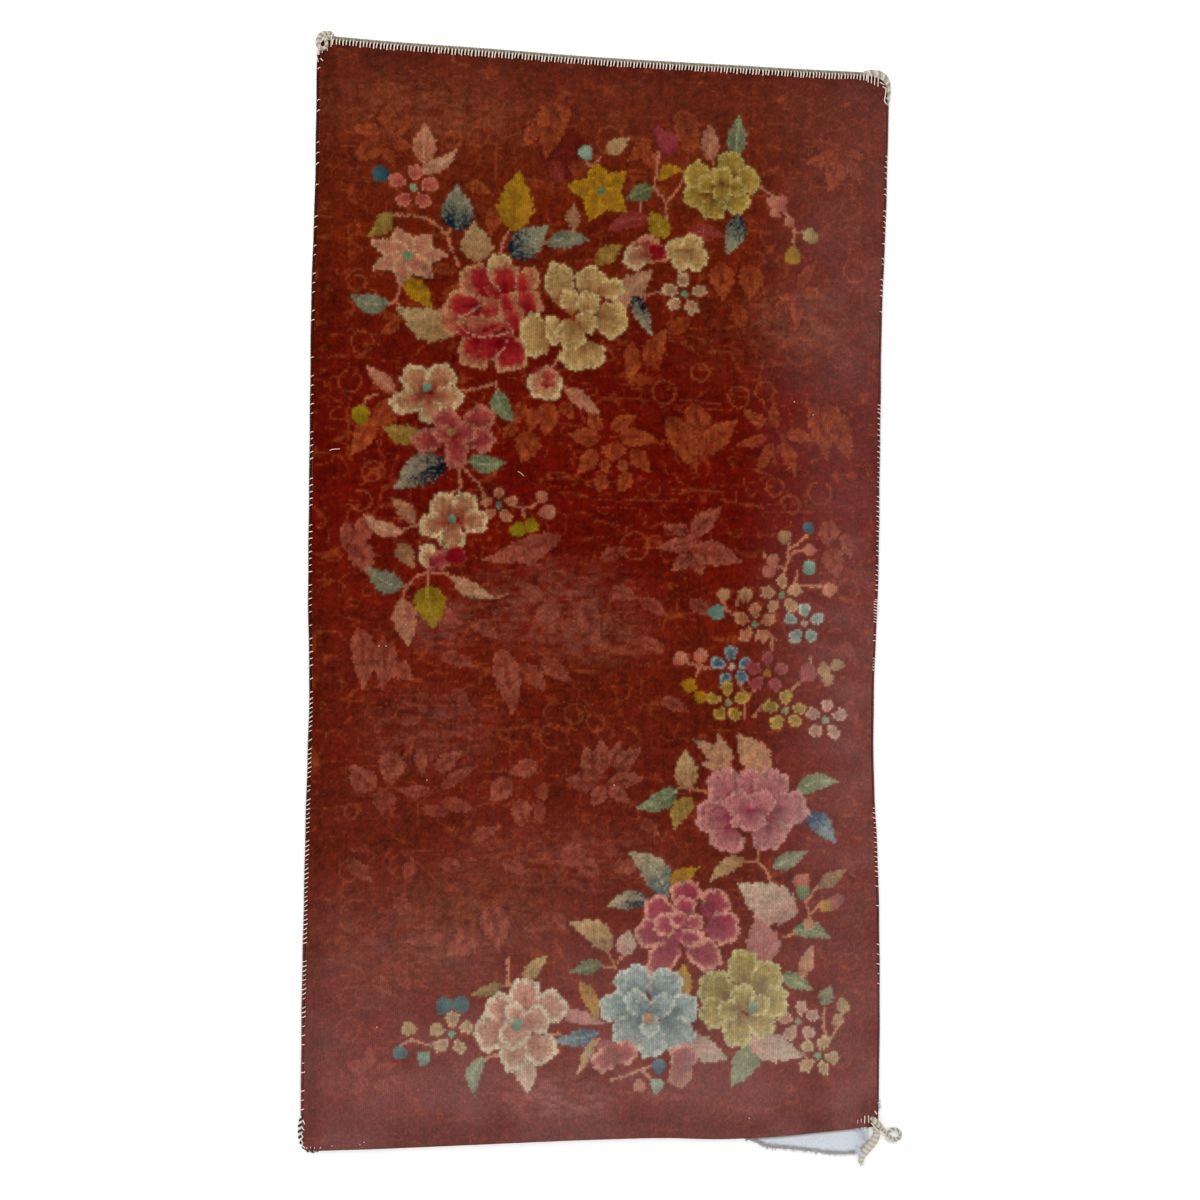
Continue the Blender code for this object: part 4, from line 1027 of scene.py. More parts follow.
PETAL_GROUPS = (
    # the crimson peony: tan petals, then the deep folds that show between them
    ("cream", ((500, 266, 12, 13, 90),)),
    ("tan", (
        (476, 281, 17, 16, 120), (505, 276, 15, 15, 85), (528, 282, 16, 11, 70), (531, 303, 12, 13, 20),
        (512, 311, 21, 13, 85), (460, 309, 17, 20, 160), (452, 321, 13, 14, 200),
        (480, 324, 13, 24, 100), (476, 350, 19, 17, 245), (509, 352, 20, 19, 290),
        (490, 303, 14, 14, 90),
    )),
    ("crimson fold", (
        (482, 282, 16, 10, 118), (493, 292, 10, 5, 150), (505, 281, 13, 11, 90), (523, 286, 14, 6, 95),
        (528, 304, 14, 8, 105), (507, 305, 13, 6, 108), (514, 322, 13, 7, 112), (466, 306, 17, 11, 170),
        (487, 311, 13, 4, 8), (493, 327, 12, 4, 20), (487, 346, 19, 13, 195), (464, 331, 9, 6, 140),
        (473, 346, 10, 9, 240), (510, 352, 15, 15, 290),
    )),
    # the cream one beside it
    ("cream", (
        (560, 284, 22, 15, 100), (591, 283, 17, 16, 75), (611, 289, 14, 11, 15),
        (611, 319, 17, 19, 350), (536, 335, 16, 22, 185), (583, 355, 15, 24, 278),
        (554, 330, 9, 15, 190), (570, 301, 13, 10, 100), (588, 304, 13, 12, 80), (586, 322, 12, 12, 20),
        (571, 334, 15, 16, 245),
    )),
    # the olive one
    ("olive", (
        (698, 176, 14, 15, 135), (731, 164, 13, 14, 85), (747, 180, 13, 14, 20),
        (737, 201, 13, 14, 310), (713, 207, 13, 14, 265), (695, 196, 12, 12, 200),
        (707, 184, 10, 10, 160), (722, 178, 12, 12, 95), (736, 187, 10, 10, 20),
        (722, 194, 12, 10, 270),
    )),
    # the cream half flower and the rose bud
    ("cream", (
        (677, 250, 12, 12, 120), (691, 247, 14, 11, 60), (697, 259, 11, 13, 330),
        (682, 260, 12, 9, 250),
    )),
    ("crimson", ((643, 248, 18, 11, 30),)),
    ("cream salmon", ((637, 257, 14, 12, 200),)),
    ("crimson heart", ((658, 252, 9, 8, 330),)),
    # two open blossoms down the left side, and the rose peony between them
    ("cream salmon", (
        (408, 401, 18, 12, 195), (416, 380, 16, 14, 125), (441, 378, 15, 14, 60),
        (447, 397, 16, 12, 355), (430, 409, 14, 12, 280),
    )),
    ("rose", (
        (448, 423, 16, 13, 120), (478, 421, 18, 14, 40), (429, 440, 17, 12, 190),
        (480, 439, 15, 13, 350), (456, 450, 20, 12, 270), (464, 433, 14, 11, 20),
        (445, 434, 12, 9, 160),
    )),
    ("cream salmon", ((545, 384, 16, 18, 265),)),
    ("crimson", ((548, 377, 11, 10, 80),)),
    ("cream salmon", (
        (444, 506, 14, 14, 120), (465, 506, 14, 13, 60), (474, 521, 14, 12, 355),
        (434, 525, 15, 12, 200), (452, 536, 15, 13, 270), (429, 558, 15, 9, 110),
    )),
    ("rose", ((442, 559, 13, 10, 30),)),
    ("crimson heart", ((456, 556, 10, 10, 10),)),
    # the dusty pink peony
    ("dusty pink", (
        (726, 788, 20, 19, 120), (750, 784, 16, 14, 90), (771, 788, 20, 18, 65),
        (715, 817, 20, 18, 180), (788, 809, 22, 18, 5), (727, 839, 13, 20, 255),
        (770, 834, 16, 20, 295), (740, 804, 15, 14, 140), (762, 804, 15, 13, 60),
        (749, 820, 11, 19, 270),
    )),
    # the magenta peony
    ("magenta", (
        (686, 894, 14, 16, 95), (659, 911, 16, 15, 150), (715, 904, 15, 16, 50),
        (652, 933, 17, 15, 190), (664, 957, 22, 15, 235), (703, 953, 22, 15, 320),
        (723, 928, 18, 17, 0), (690, 938, 17, 9, 350), (667, 925, 14, 12, 180), (684, 908, 12, 12, 90),
        (694, 923, 10, 9, 10), (679, 920, 10, 9, 150),
    )),
    # the pale blue one
    ("pale blue", (
        (634, 984, 18, 20, 115), (665, 987, 18, 18, 65), (617, 1007, 18, 15, 185),
        (683, 1009, 16, 15, 10), (630, 1031, 18, 17, 215), (676, 1034, 20, 18, 315),
        (651, 1040, 18, 15, 265), (638, 1004, 16, 12, 130), (662, 1006, 14, 12, 45),
        (650, 1024, 14, 10, 270),
    )),
    # the yellow one
    ("yellow", (
        (743, 969, 20, 16, 95), (766, 978, 18, 17, 50), (774, 1002, 15, 17, 0), (717, 990, 20, 18, 150),
        (716, 1012, 17, 16, 205), (738, 1030, 18, 16, 260), (761, 1023, 16, 14, 310),
        (744, 998, 15, 13, 120), (730, 1010, 13, 11, 190), (758, 1006, 13, 11, 10),
    )),
    # the salmon and cream one
    ("salmon cream", (
        (525, 995, 16, 16, 95), (551, 1007, 15, 17, 35), (502, 1010, 17, 15, 140),
        (491, 1033, 16, 19, 190), (515, 1052, 20, 14, 260), (541, 1049, 15, 17, 310),
        (537, 1020, 13, 15, 30), (516, 1032, 18, 15, 220), (516, 1014, 13, 10, 120),
    )),
    # two small ones at the foot
    ("magenta", ((605, 1060, 14, 12, 190), (624, 1053, 14, 12, 30),)),
    ("crimson heart", ((613, 1054, 10, 11, 90),)),
    ("rose", ((680, 1074, 14, 12, 260),)),
    ("magenta", ((684, 1058, 14, 15, 90),)),
)
PETALS = [Petal(*row, dye) for dye, rows in PETAL_GROUPS for row in rows]
FIRST_PETAL_SEED = 100
VEIN_WIDTH = 0.0026
VEIN_WOOL = wool(176, 116, 92)
VEINS = (
    (517, 271, 517, 288), (486, 303, 475, 308, 468, 314, 460, 316), (508, 337, 505, 347, 496, 358),
    (500, 312, 506, 320, 514, 334), (457, 322, 466, 332, 480, 337, 496, 336, 508, 332),
    (487, 268, 491, 281, 500, 290),
)
Heart = namedtuple("Heart", "across down size dye")
HEARTS = [Heart(*row) for row in (
    (427, 388, 9, "teal"), (452, 519, 9, "teal"), (451, 432, 9, "olive heart"), (648, 1019, 12, "peach"),
    (753, 1008, 12, "teal"), (517, 1025, 13, "teal"), (680, 919, 5, "crimson"),
)]

print(len(FLOWERS), "small flowers,", len(PETALS), "petals of large ones")


# %% Laying the sprays
def lay_sprays(chart):
    for stem in STEMS:
        lay_line(chart, photo_line(stem), STEM_WIDTH, STEM_WOOL)
    for row in LEAVES:
        base, tip = rug_place(row.base_x, row.base_y), rug_place(row.tip_x, row.tip_y)
        lay_leaf(chart, base, tip, row.width * PIXEL, row.curl, LEAF_DYES[row.dye])
    for row in BUDS:
        place = rug_place(row.across, row.down)
        lay_bud(chart, place, row.size * PIXEL, math.radians(row.tilt), BUD_DYES[row.dye])
    for row in FLOWERS:
        place, size = rug_place(row.across, row.down), (row.width * PIXEL, row.height * PIXEL)
        lay_flower(chart, place, *size, row.turn, row.kind, FLOWER_DYES[row.dye], row.seed)
    for number, row in enumerate(PETALS):
        size = (row.long * PIXEL, row.wide * PIXEL)
        place, dye = rug_place(row.across, row.down), FLOWER_DYES[row.dye]
        lay_petal(chart, place, *size, row.turn, dye, FIRST_PETAL_SEED + number)
    for vein in VEINS:
        lay_line(chart, photo_line(vein), VEIN_WIDTH, VEIN_WOOL)
    for row in HEARTS:
        lay_bud(chart, rug_place(row.across, row.down), row.size * PIXEL, 0.0, BUD_DYES[row.dye])


first_spray = chart.motifs + 1
lay_sprays(chart)
mottle(chart)
fade_and_paint_light(chart)
darken_borders(chart)
darken_gaps(chart)
print(chart.motifs, "motifs in all")

# %% [markdown]
# ## Materials
#
# Everything here is wool or cotton yarn, so the materials are matt, with almost no shine. The
# pile reads each knot's wool from its quad, and mixes in a softened copy, because neighbouring
# tufts felt into each other under foot. White noise on the knot's own number makes every tuft a
# little lighter or darker, and fine noise stands for fibres.

# %% Helpers for nodes
def put(tree, kind, inputs=None, **settings):
    """Adds a node, with its inputs linked where they are sockets and set where they are values."""
    node = tree.nodes.new(kind)
    for name, value in settings.items():
        setattr(node, name, value)
    for name, value in (inputs or {}).items():
        if isinstance(value, bpy.types.NodeSocket):
            tree.links.new(value, node.inputs[name])
        else:
            node.inputs[name].default_value = value
    return node


def calc(tree, operation, first, second=0.0, third=0.0):
    """A sum of one, two or three values in a shader or geometry tree."""
    inputs = {0: first, 1: second, 2: third}
    return put(tree, "ShaderNodeMath", inputs, operation=operation).outputs[0]


def about_one(tree, value, spread):
    """A value from 0 to 1 turned into a factor that varies by spread round 1."""
    return calc(tree, "MULTIPLY_ADD", value, spread, 1.0 - spread / 2)


def times(tree, vector, factor):
    """A colour or a vector times a factor."""
    return put(tree, "ShaderNodeVectorMath", {0: vector, "Scale": factor}, operation="SCALE").outputs[0]


def join(tree, operation, first, second):
    """Two vectors added or crossed."""
    return put(tree, "ShaderNodeVectorMath", {0: first, 1: second}, operation=operation).outputs[0]


def split(tree, vector):
    """The x, y and z of a vector."""
    return put(tree, "ShaderNodeSeparateXYZ", {0: vector}).outputs


def painted(tree, attribute):
    """A colour that is painted on the mesh."""
    return put(tree, "ShaderNodeAttribute", attribute_name=attribute).outputs["Color"]


def own_place(tree):
    """Where a point lies on its piece, in metres."""
    return put(tree, "ShaderNodeTexCoord").outputs["Object"]


def mixed_colour(tree, share, first, second):
    """The first colour, with this share of the second mixed in."""
    inputs = {"Factor": share, "A": first, "B": second}
    return put(tree, "ShaderNodeMix", inputs, data_type="RGBA").outputs["Result"]


trial = bpy.data.node_groups.new("trial", "ShaderNodeTree")
about_one(trial, 0.5, 0.2)
print("a factor about one takes one node, named", trial.nodes[0].name)
bpy.data.node_groups.remove(trial)


# %% The wool of the pile
def start_material(name, roughness, specular):
    """A matt material: its node tree and its shader's inputs come with it."""
    material = bpy.data.materials.new(name)
    material.use_nodes = True
    shader = material.node_tree.nodes["Principled BSDF"].inputs
    shader["Roughness"].default_value = roughness
    shader["Specular IOR Level"].default_value = specular
    return material, material.node_tree, shader


def finish_material(tree, shader, colour, shade, height=None, depth=0.0, strength=0.5):
    """Joins a colour times its shade to the shader, and bumps as high as depth in metres."""
    tree.links.new(times(tree, colour, shade), shader["Base Color"])
    if height is not None:
        bump = put(tree, "ShaderNodeBump", {"Strength": strength, "Distance": depth, "Height": height})
        tree.links.new(bump.outputs["Normal"], shader["Normal"])


def fibre_noise(tree, scale):
    """Fine noise across a piece, from 0 to 1, at this many fibres a metre."""
    inputs = {"Vector": own_place(tree), "Scale": scale, "Detail": 3.0, "Roughness": 0.6}
    return put(tree, "ShaderNodeTexNoise", inputs).outputs["Fac"]


def ridges(tree, along, pitch=1.0):
    """Round ridges this far apart: 0 in the grooves and 1 on the backs."""
    return calc(tree, "ABSOLUTE", calc(tree, "SINE", calc(tree, "MULTIPLY", along, math.pi / pitch)))


FELTED_SHARE = 0.45  # how far neighbouring tufts felt into each other
TUFT_SPREAD = 0.26
FIBRE_SPREAD = 0.30
RIB_LIGHT = (0.20, 0.86)  # what the back of a rib adds to the light, and the light in its groove
ROW_LIGHT = (0.10, 0.93)
PILE_BUMP = 0.0006


def pile_wool():
    """The pile: each knot's own wool, with its ribs, its fibres and a softened copy of its neighbours."""
    material, tree, shader = start_material("knotted wool", 0.95, 0.02)
    knot, felted = painted(tree, "knot_colour"), painted(tree, "felted_colour")
    colour = mixed_colour(tree, FELTED_SHARE, knot, felted)
    uv = put(tree, "ShaderNodeUVMap", uv_map="knots").outputs["UV"]
    number = put(tree, "ShaderNodeVectorMath", {0: uv}, operation="FLOOR").outputs[0]
    tuft = put(tree, "ShaderNodeTexWhiteNoise", {"Vector": number}, noise_dimensions="2D").outputs["Value"]
    along_row, up_rug, _ = split(tree, uv)
    rib, row = ridges(tree, along_row), ridges(tree, up_rug)
    fibres = fibre_noise(tree, 900.0)
    shade = about_one(tree, tuft, TUFT_SPREAD)
    shade = calc(tree, "MULTIPLY", shade, about_one(tree, fibres, FIBRE_SPREAD))
    # Painted shade: the grooves between ribs and between rows of knots are darker.
    shade = calc(tree, "MULTIPLY", shade, calc(tree, "MULTIPLY_ADD", rib, *RIB_LIGHT))
    shade = calc(tree, "MULTIPLY", shade, calc(tree, "MULTIPLY_ADD", row, *ROW_LIGHT))
    height = calc(tree, "ADD", calc(tree, "MULTIPLY", rib, 0.5), fibres)
    height = calc(tree, "MULTIPLY_ADD", tuft, 0.4, height)
    finish_material(tree, shader, colour, shade, height, PILE_BUMP)
    return material


pile_material = pile_wool()
print("tufts vary in light by", round(100 * TUFT_SPREAD), "percent, and fibres by", round(100 * FIBRE_SPREAD))

# %% The other yarns
YARN_BUMP = 0.0004
EDGE_RUST = [*wool(82, 34, 20), 1]
# The rose down the right side and at the foot is partly faded yarn and partly painted light.
EDGE_ROSE = [*wool(124, 74, 72), 1]
ROSE_FROM_Y, ROSE_TO_Y = -0.25, -0.70  # where the side yarn turns from rust to rose
ROSE_RIGHT = 0.75  # how far the whole right side has turned


def plain_yarn(name, colour, spread=0.3):
    """A yarn of one colour, mottled by its fibres."""
    material, tree, shader = start_material(name, 0.9, 0.05)
    fibres = fibre_noise(tree, 700.0)
    shade = about_one(tree, fibres, 2 * spread)
    finish_material(tree, shader, [*wool(*colour)], shade, fibres, YARN_BUMP)
    return material


def plied_yarn(name, colour, darker):
    """Yarn whose strands differ: each is darker than the one before by this share of white. On the
    white cord and plaits this is painted shade between the strands; on the dark and light plait it
    is two real colours.
    """
    material, tree, shader = start_material(name, 0.9, 0.05)
    strand = put(tree, "ShaderNodeAttribute", attribute_name="strand").outputs["Fac"]
    shade = calc(tree, "MULTIPLY_ADD", strand, -darker, 1.0)
    shade = calc(tree, "MULTIPLY", shade, about_one(tree, fibre_noise(tree, 800.0), 0.8))
    finish_material(tree, shader, [*wool(*colour)], shade)
    return material


def side_yarn():
    """The overcast sides: rust, lighter and rosier down the right side and at the foot, partly faded yarn and
    partly painted light.
    """
    material, tree, shader = start_material("edge yarn", 0.95, 0.03)
    x, y, _ = split(tree, own_place(tree))
    low = put(tree, "ShaderNodeMapRange", {0: y, 1: ROSE_FROM_Y, 2: ROSE_TO_Y}).outputs[0]
    right = put(tree, "ShaderNodeMapRange", {0: x, 1: 0.0, 2: 0.1, 4: ROSE_RIGHT}).outputs[0]
    colour = mixed_colour(tree, calc(tree, "MAXIMUM", low, right), EDGE_RUST, EDGE_ROSE)
    finish_material(tree, shader, colour, about_one(tree, fibre_noise(tree, 500.0), 0.8))
    return material


WEB_THREAD = 0.0024  # two threads of the web


def woven_cotton():
    """Plain-woven cotton: its colour is painted on the mesh, and two crossed waves are its threads."""
    material, tree, shader = start_material("cotton web", 0.95, 0.05)
    x, y, _ = split(tree, own_place(tree))
    cloth = calc(tree, "ADD", ridges(tree, x, WEB_THREAD / 2), ridges(tree, y, WEB_THREAD / 2))
    fibres = fibre_noise(tree, 420.0)
    woven = calc(tree, "MULTIPLY_ADD", cloth, 0.14, 0.82)
    shade = calc(tree, "MULTIPLY", woven, about_one(tree, fibres, 0.5))
    height = calc(tree, "ADD", cloth, fibres)
    finish_material(tree, shader, painted(tree, "web_colour"), shade, height, PILE_BUMP, 0.6)
    return material


# painted shade between the plies of the white cord
cotton_material = plied_yarn("cotton cord", (158, 150, 132), 0.16)
edge_material = side_yarn()
web_material = woven_cotton()
fuzz_material = plain_yarn("cotton fuzz", (244, 250, 255), spread=0.1)
frayed_material = plain_yarn("frayed ends", (196, 192, 190))
print(len(bpy.data.materials), "materials")

# %% [markdown]
# ## The pile
#
# The pile is cut level, but the tufts don't stand quite equal, and the rug is a little wavy. Its
# edges round off over the last two knots. Where two motifs meet, the weaver has clipped a shallow
# groove, so the corners between knots of different motifs sit lower. The pile is made as an upper
# and a lower half, closed below, that meet on a row of knots.

# %% How high the knots stand
HALF_ROW = KNOTS_UP // 2
PILE_FOOT = 0.0030  # where the pile ends and the foundation begins, above the underside
BULGE = 0.0006  # how far the outermost tufts bulge out half way down
CLIPPED = 0.0007  # depth of the groove between two motifs
FELTED = 0.0004  # how unequal the tufts stand
SHIFTED = 0.14  # how far a knot's corners wander, as a share of a knot


def pile_height(x, y, edge):
    """Height of the pile's top, rounded off toward the edge."""
    waves = sum(np.sin(a * x + b * y) for a, b in WAVES) * PILE_WAVE / 2
    uneven = 0.0005 * (value_noise(x, y, 0.030, 0.022, 41) - 0.5)
    fall = np.clip(1.0 - edge / SHOULDER_WIDTH, 0.0, 1.0)
    shoulder = SHOULDER_DROP * (1.0 - np.sqrt(np.maximum(1.0 - fall**2, 0.0)))
    return end_lift(y, x) + RUG_THICKNESS + waves + uneven - shoulder


def motif_borders(motif):
    """1 at the grid corners where knots of different motifs meet, 0 elsewhere."""
    padded = np.pad(motif, 1, mode="edge")
    around = [padded[:-1, :-1], padded[1:, :-1], padded[:-1, 1:], padded[1:, 1:]]
    return (np.max(around, axis=0) != np.min(around, axis=0)).astype(float)


def corner_average(values):
    """The average of the quads round each grid corner, per channel."""
    padded = np.pad(values, ((1, 1), (1, 1), (0, 0)), mode="edge")
    return 0.25 * (padded[:-1, :-1] + padded[1:, :-1] + padded[:-1, 1:] + padded[1:, 1:])


print("the halves meet on row", HALF_ROW)


# %% Closed pieces of cloth
def grid_quads(index):
    """The quads of a grid of corner numbers, facing up."""
    return np.stack([index[:-1, :-1], index[:-1, 1:], index[1:, 1:], index[1:, :-1]], axis=2).reshape(-1, 4)


def grid_rim(index):
    """The corner numbers round a grid, in one closed ring."""
    return np.concatenate([index[0, :-1], index[:-1, -1], index[-1, :0:-1], index[:0:-1, 0]])


def wall_quads(upper, lower):
    """The quads of a wall between two rings of corners."""
    return np.stack([upper, lower, np.roll(lower, -1), np.roll(upper, -1)], axis=1)


def add_cloth(name, points, faces, material):
    """A piece of these points and faces, smooth but for its sharp edges."""
    mesh = bpy.data.meshes.new(name)
    mesh.from_pydata(points.tolist(), [], faces)
    mesh.validate()
    mesh.set_sharp_from_angle(angle=math.radians(50))
    mesh.materials.append(material)
    print(name, len(mesh.polygons), "faces")
    return add_object(name, mesh)


def paint(piece, attribute, colours, domain):
    """Gives each face or point of a piece its colour."""
    shades = np.ones((len(colours), 4), np.float32)
    shades[:, :3] = colours
    layer = piece.data.attributes.new(attribute, "FLOAT_COLOR", domain)
    layer.data.foreach_set("color", shades.ravel())


print("a grid of 2 by 2 knots has a rim of", len(grid_rim(np.arange(9).reshape(3, 3))), "corners")

# %% Both halves of the pile
RIM_SHARE = 0.985  # how far out a corner is counted as on the outer rim
SEAM_REACH = 0.01
WAIST = 0.55  # how high up the wall bulges most


def closed_half(name, x, y, z, colours, felted, first_row):
    """A closed mesh with this grid on top, walls down to the foundation, and a flat underside."""
    rows, columns = x.shape[0] - 1, x.shape[1] - 1
    top = np.arange(x.size).reshape(x.shape)
    rim = grid_rim(top)
    points = np.stack([x, y, z], axis=2).reshape(-1, 3)
    grid_u, grid_v = np.meshgrid(np.arange(columns + 1), np.arange(rows + 1) + first_row)
    uv = np.stack([grid_u.ravel(), grid_v.ravel()], axis=1).astype(float)
    # the wall bulges outward, but not where the halves meet
    edge_points = points[rim]
    outward = edge_points[:, :2] - np.array([x.mean(), y.mean()])
    outward = np.sign(outward) * (np.abs(outward) > np.abs(outward).max(axis=0) * RIM_SHARE)
    outward[np.abs(edge_points[:, 1]) < abs(y).min() + SEAM_REACH, 1] = 0
    foot = end_lift(edge_points[:, 1], edge_points[:, 0]) + PILE_FOOT
    middle, bottom = edge_points.copy(), edge_points.copy()
    middle[:, :2] += outward * BULGE
    middle[:, 2] = foot + WAIST * (edge_points[:, 2] - foot)
    bottom[:, 2] = foot
    uv = np.concatenate([uv, uv[rim] + outward, uv[rim] + 2 * outward])
    ring = np.arange(len(rim))
    middle_ring, low = len(points) + ring, len(points) + len(rim) + ring
    right = low[columns : columns + rows + 1]
    left = np.concatenate([low[:1], low[: columns + rows + columns - 1 : -1]])[: rows + 1]
    underside = np.stack([left[:-1], left[1:], right[1:], right[:-1]], axis=1)
    walls = [wall_quads(rim, middle_ring), wall_quads(middle_ring, low)]
    faces = np.concatenate([grid_quads(top), *walls, underside]).tolist()
    faces.append(low[: columns + 1][::-1].tolist())
    faces.append(low[columns + rows : 2 * columns + rows + 1][::-1].tolist())
    half = add_cloth(name, np.concatenate([points, middle, bottom]), faces, pile_material)
    corners = np.empty(len(half.data.loops), int)
    half.data.loops.foreach_get("vertex_index", corners)
    uv_map = half.data.uv_layers.new(name="knots")
    uv_map.data.foreach_set("uv", uv[corners].astype(np.float32).ravel())
    # each wall takes the wool of the knot above it, and the underside their average
    wall = colours[np.minimum(rim // (columns + 1), rows - 1), np.minimum(rim % (columns + 1), columns - 1)]
    below = np.tile(wall.mean(axis=0), (len(faces) - colours[..., 0].size - 2 * len(rim), 1))
    paint(half, "knot_colour", np.concatenate([colours.reshape(-1, 3), wall, wall, below]), "FACE")
    paint(half, "felted_colour", np.concatenate([felted.reshape(-1, 3), wall, wall]), "POINT")
    return half


random = np.random.default_rng(3)
knot_colours = np.clip(chart.wool, 0.001, 1.0).reshape(KNOTS_UP, KNOTS_ACROSS, 3)
felted_colours = corner_average(knot_colours)
edge = edge_distance(knot_x, knot_y)
knot_z = pile_height(knot_x, knot_y, edge)
knot_z -= CLIPPED * motif_borders(chart.motif.reshape(KNOTS_UP, KNOTS_ACROSS))
knot_z += random.uniform(-0.5, 0.5, knot_z.shape) * FELTED
jitter_x = knot_x + random.uniform(-SHIFTED, SHIFTED, knot_x.shape) * KNOT * (edge > 0)
jitter_y = knot_y + random.uniform(-SHIFTED, SHIFTED, knot_y.shape) * KNOT * (edge > 0)
jitter_y[HALF_ROW] = knot_y[HALF_ROW]
halves = []
for name, low, high in (("rug_pile_lower", 0, HALF_ROW), ("rug_pile_upper", HALF_ROW, KNOTS_UP)):
    cut = slice(low, high + 1)
    grid = (jitter_x[cut], jitter_y[cut], knot_z[cut])
    halves.append(closed_half(name, *grid, knot_colours[low:high], felted_colours[cut], low))

# %% [markdown]
# ## The foundation
#
# Below the pile lies the woven cotton foundation with the backs of the knots. Seen from
# underneath it shows the design reversed and duller. It is one thin sheet that follows the rise
# at the lower end.

# %% The woven back
CELL = 0.0065  # a quad of the back
FOUNDATION_INSET = 0.0012
BACK_COTTON = wool(168, 146, 122)
BACK_WOOL_SHARE = 0.62


def woven_back():
    """The backs of the knots: each face reads its own colour."""
    material, tree, shader = start_material("cotton back", 0.95, 0.05)
    shade = about_one(tree, fibre_noise(tree, 600.0), 0.5)
    finish_material(tree, shader, painted(tree, "back_colour"), shade)
    return material


def sheet_faces(shape):
    """The faces of a thin closed sheet over a grid: above, below and round its rim."""
    index = np.arange(math.prod(shape)).reshape(shape)
    quads, rim = grid_quads(index), grid_rim(index)
    return np.concatenate([quads, quads[:, ::-1] + index.size, wall_quads(rim, rim + index.size)]).tolist()


rows, columns = round(RUG_LENGTH / CELL), round(RUG_WIDTH / CELL)
back_x, back_y = outline_grid(rows, columns, SIDE_GAP + FOUNDATION_INSET)
back_low = end_lift(back_y, back_x)
back_points = [np.stack([back_x, back_y, z], axis=2).reshape(-1, 3) for z in (back_low + PILE_FOOT, back_low)]
back_faces = sheet_faces(back_x.shape)
foundation = add_cloth("rug_foundation", np.concatenate(back_points), back_faces, woven_back())
nearest_row = ((np.arange(rows) + 0.5) / rows * KNOTS_UP).astype(int)
nearest_column = ((np.arange(columns) + 0.5) / columns * KNOTS_ACROSS).astype(int)
backs = knot_colours[np.ix_(nearest_row, nearest_column)].reshape(-1, 3)
backs = BACK_COTTON + (backs - BACK_COTTON) * BACK_WOOL_SHARE
rim_backs = np.tile(BACK_COTTON, (len(back_faces) - 2 * len(backs), 1))
paint(foundation, "back_colour", np.concatenate([backs, backs, rim_backs]), "FACE")

# %% [markdown]
# ## Yarns, braids and stitches
#
# The cords, the plaits at the corners and the whip stitches are all yarn that follows a line, so
# they are grown on short lists of places by node trees. Each could be modelled by hand, but one
# tree makes every braid, and another every row of stitches. A strand winds round its line: the
# angle grows with the distance along it, and each strand starts a share of a turn later.

# %% A tree of wound strands
SOCKETS = {float: "NodeSocketFloat", int: "NodeSocketInt", tuple: "NodeSocketVector"}


def start_tree(name, **sizes):
    """A geometry tree with these named inputs, a host line going in and a mesh coming out."""
    tree = bpy.data.node_groups.new(name, "GeometryNodeTree")
    tree.interface.new_socket("Line", in_out="INPUT", socket_type="NodeSocketGeometry")
    for size, default in sizes.items():
        kind = SOCKETS[type(default)]
        tree.interface.new_socket(size.title(), in_out="INPUT", socket_type=kind).default_value = default
    tree.interface.new_socket("Material", in_out="INPUT", socket_type="NodeSocketMaterial")
    tree.interface.new_socket("Mesh", in_out="OUTPUT", socket_type="NodeSocketGeometry")
    given = tree.nodes.new("NodeGroupInput").outputs
    line = put(tree, "GeometryNodeMeshToCurve", {"Mesh": given["Line"]}).outputs["Curve"]
    return tree, given, line


def end_tree(tree, given, mesh):
    """Smooth, realised and with its material, as the tree's result."""
    smooth = put(tree, "GeometryNodeSetShadeSmooth", {"Geometry": mesh}).outputs["Geometry"]
    real = put(tree, "GeometryNodeRealizeInstances", {"Geometry": smooth}).outputs["Geometry"]
    finished = put(tree, "GeometryNodeSetMaterial", {"Geometry": real, "Material": given["Material"]})
    tree.links.new(finished.outputs["Geometry"], tree.nodes.new("NodeGroupOutput").inputs["Mesh"])
    return tree


def tube(tree, curve, radius, sides):
    """A tube of this radius round a curve."""
    circle = put(tree, "GeometryNodeCurvePrimitiveCircle", {"Resolution": sides, "Radius": 1.0})
    inputs = {"Curve": curve, "Profile Curve": circle.outputs["Curve"], "Scale": radius, "Fill Caps": True}
    return put(tree, "GeometryNodeCurveToMesh", inputs).outputs["Mesh"]


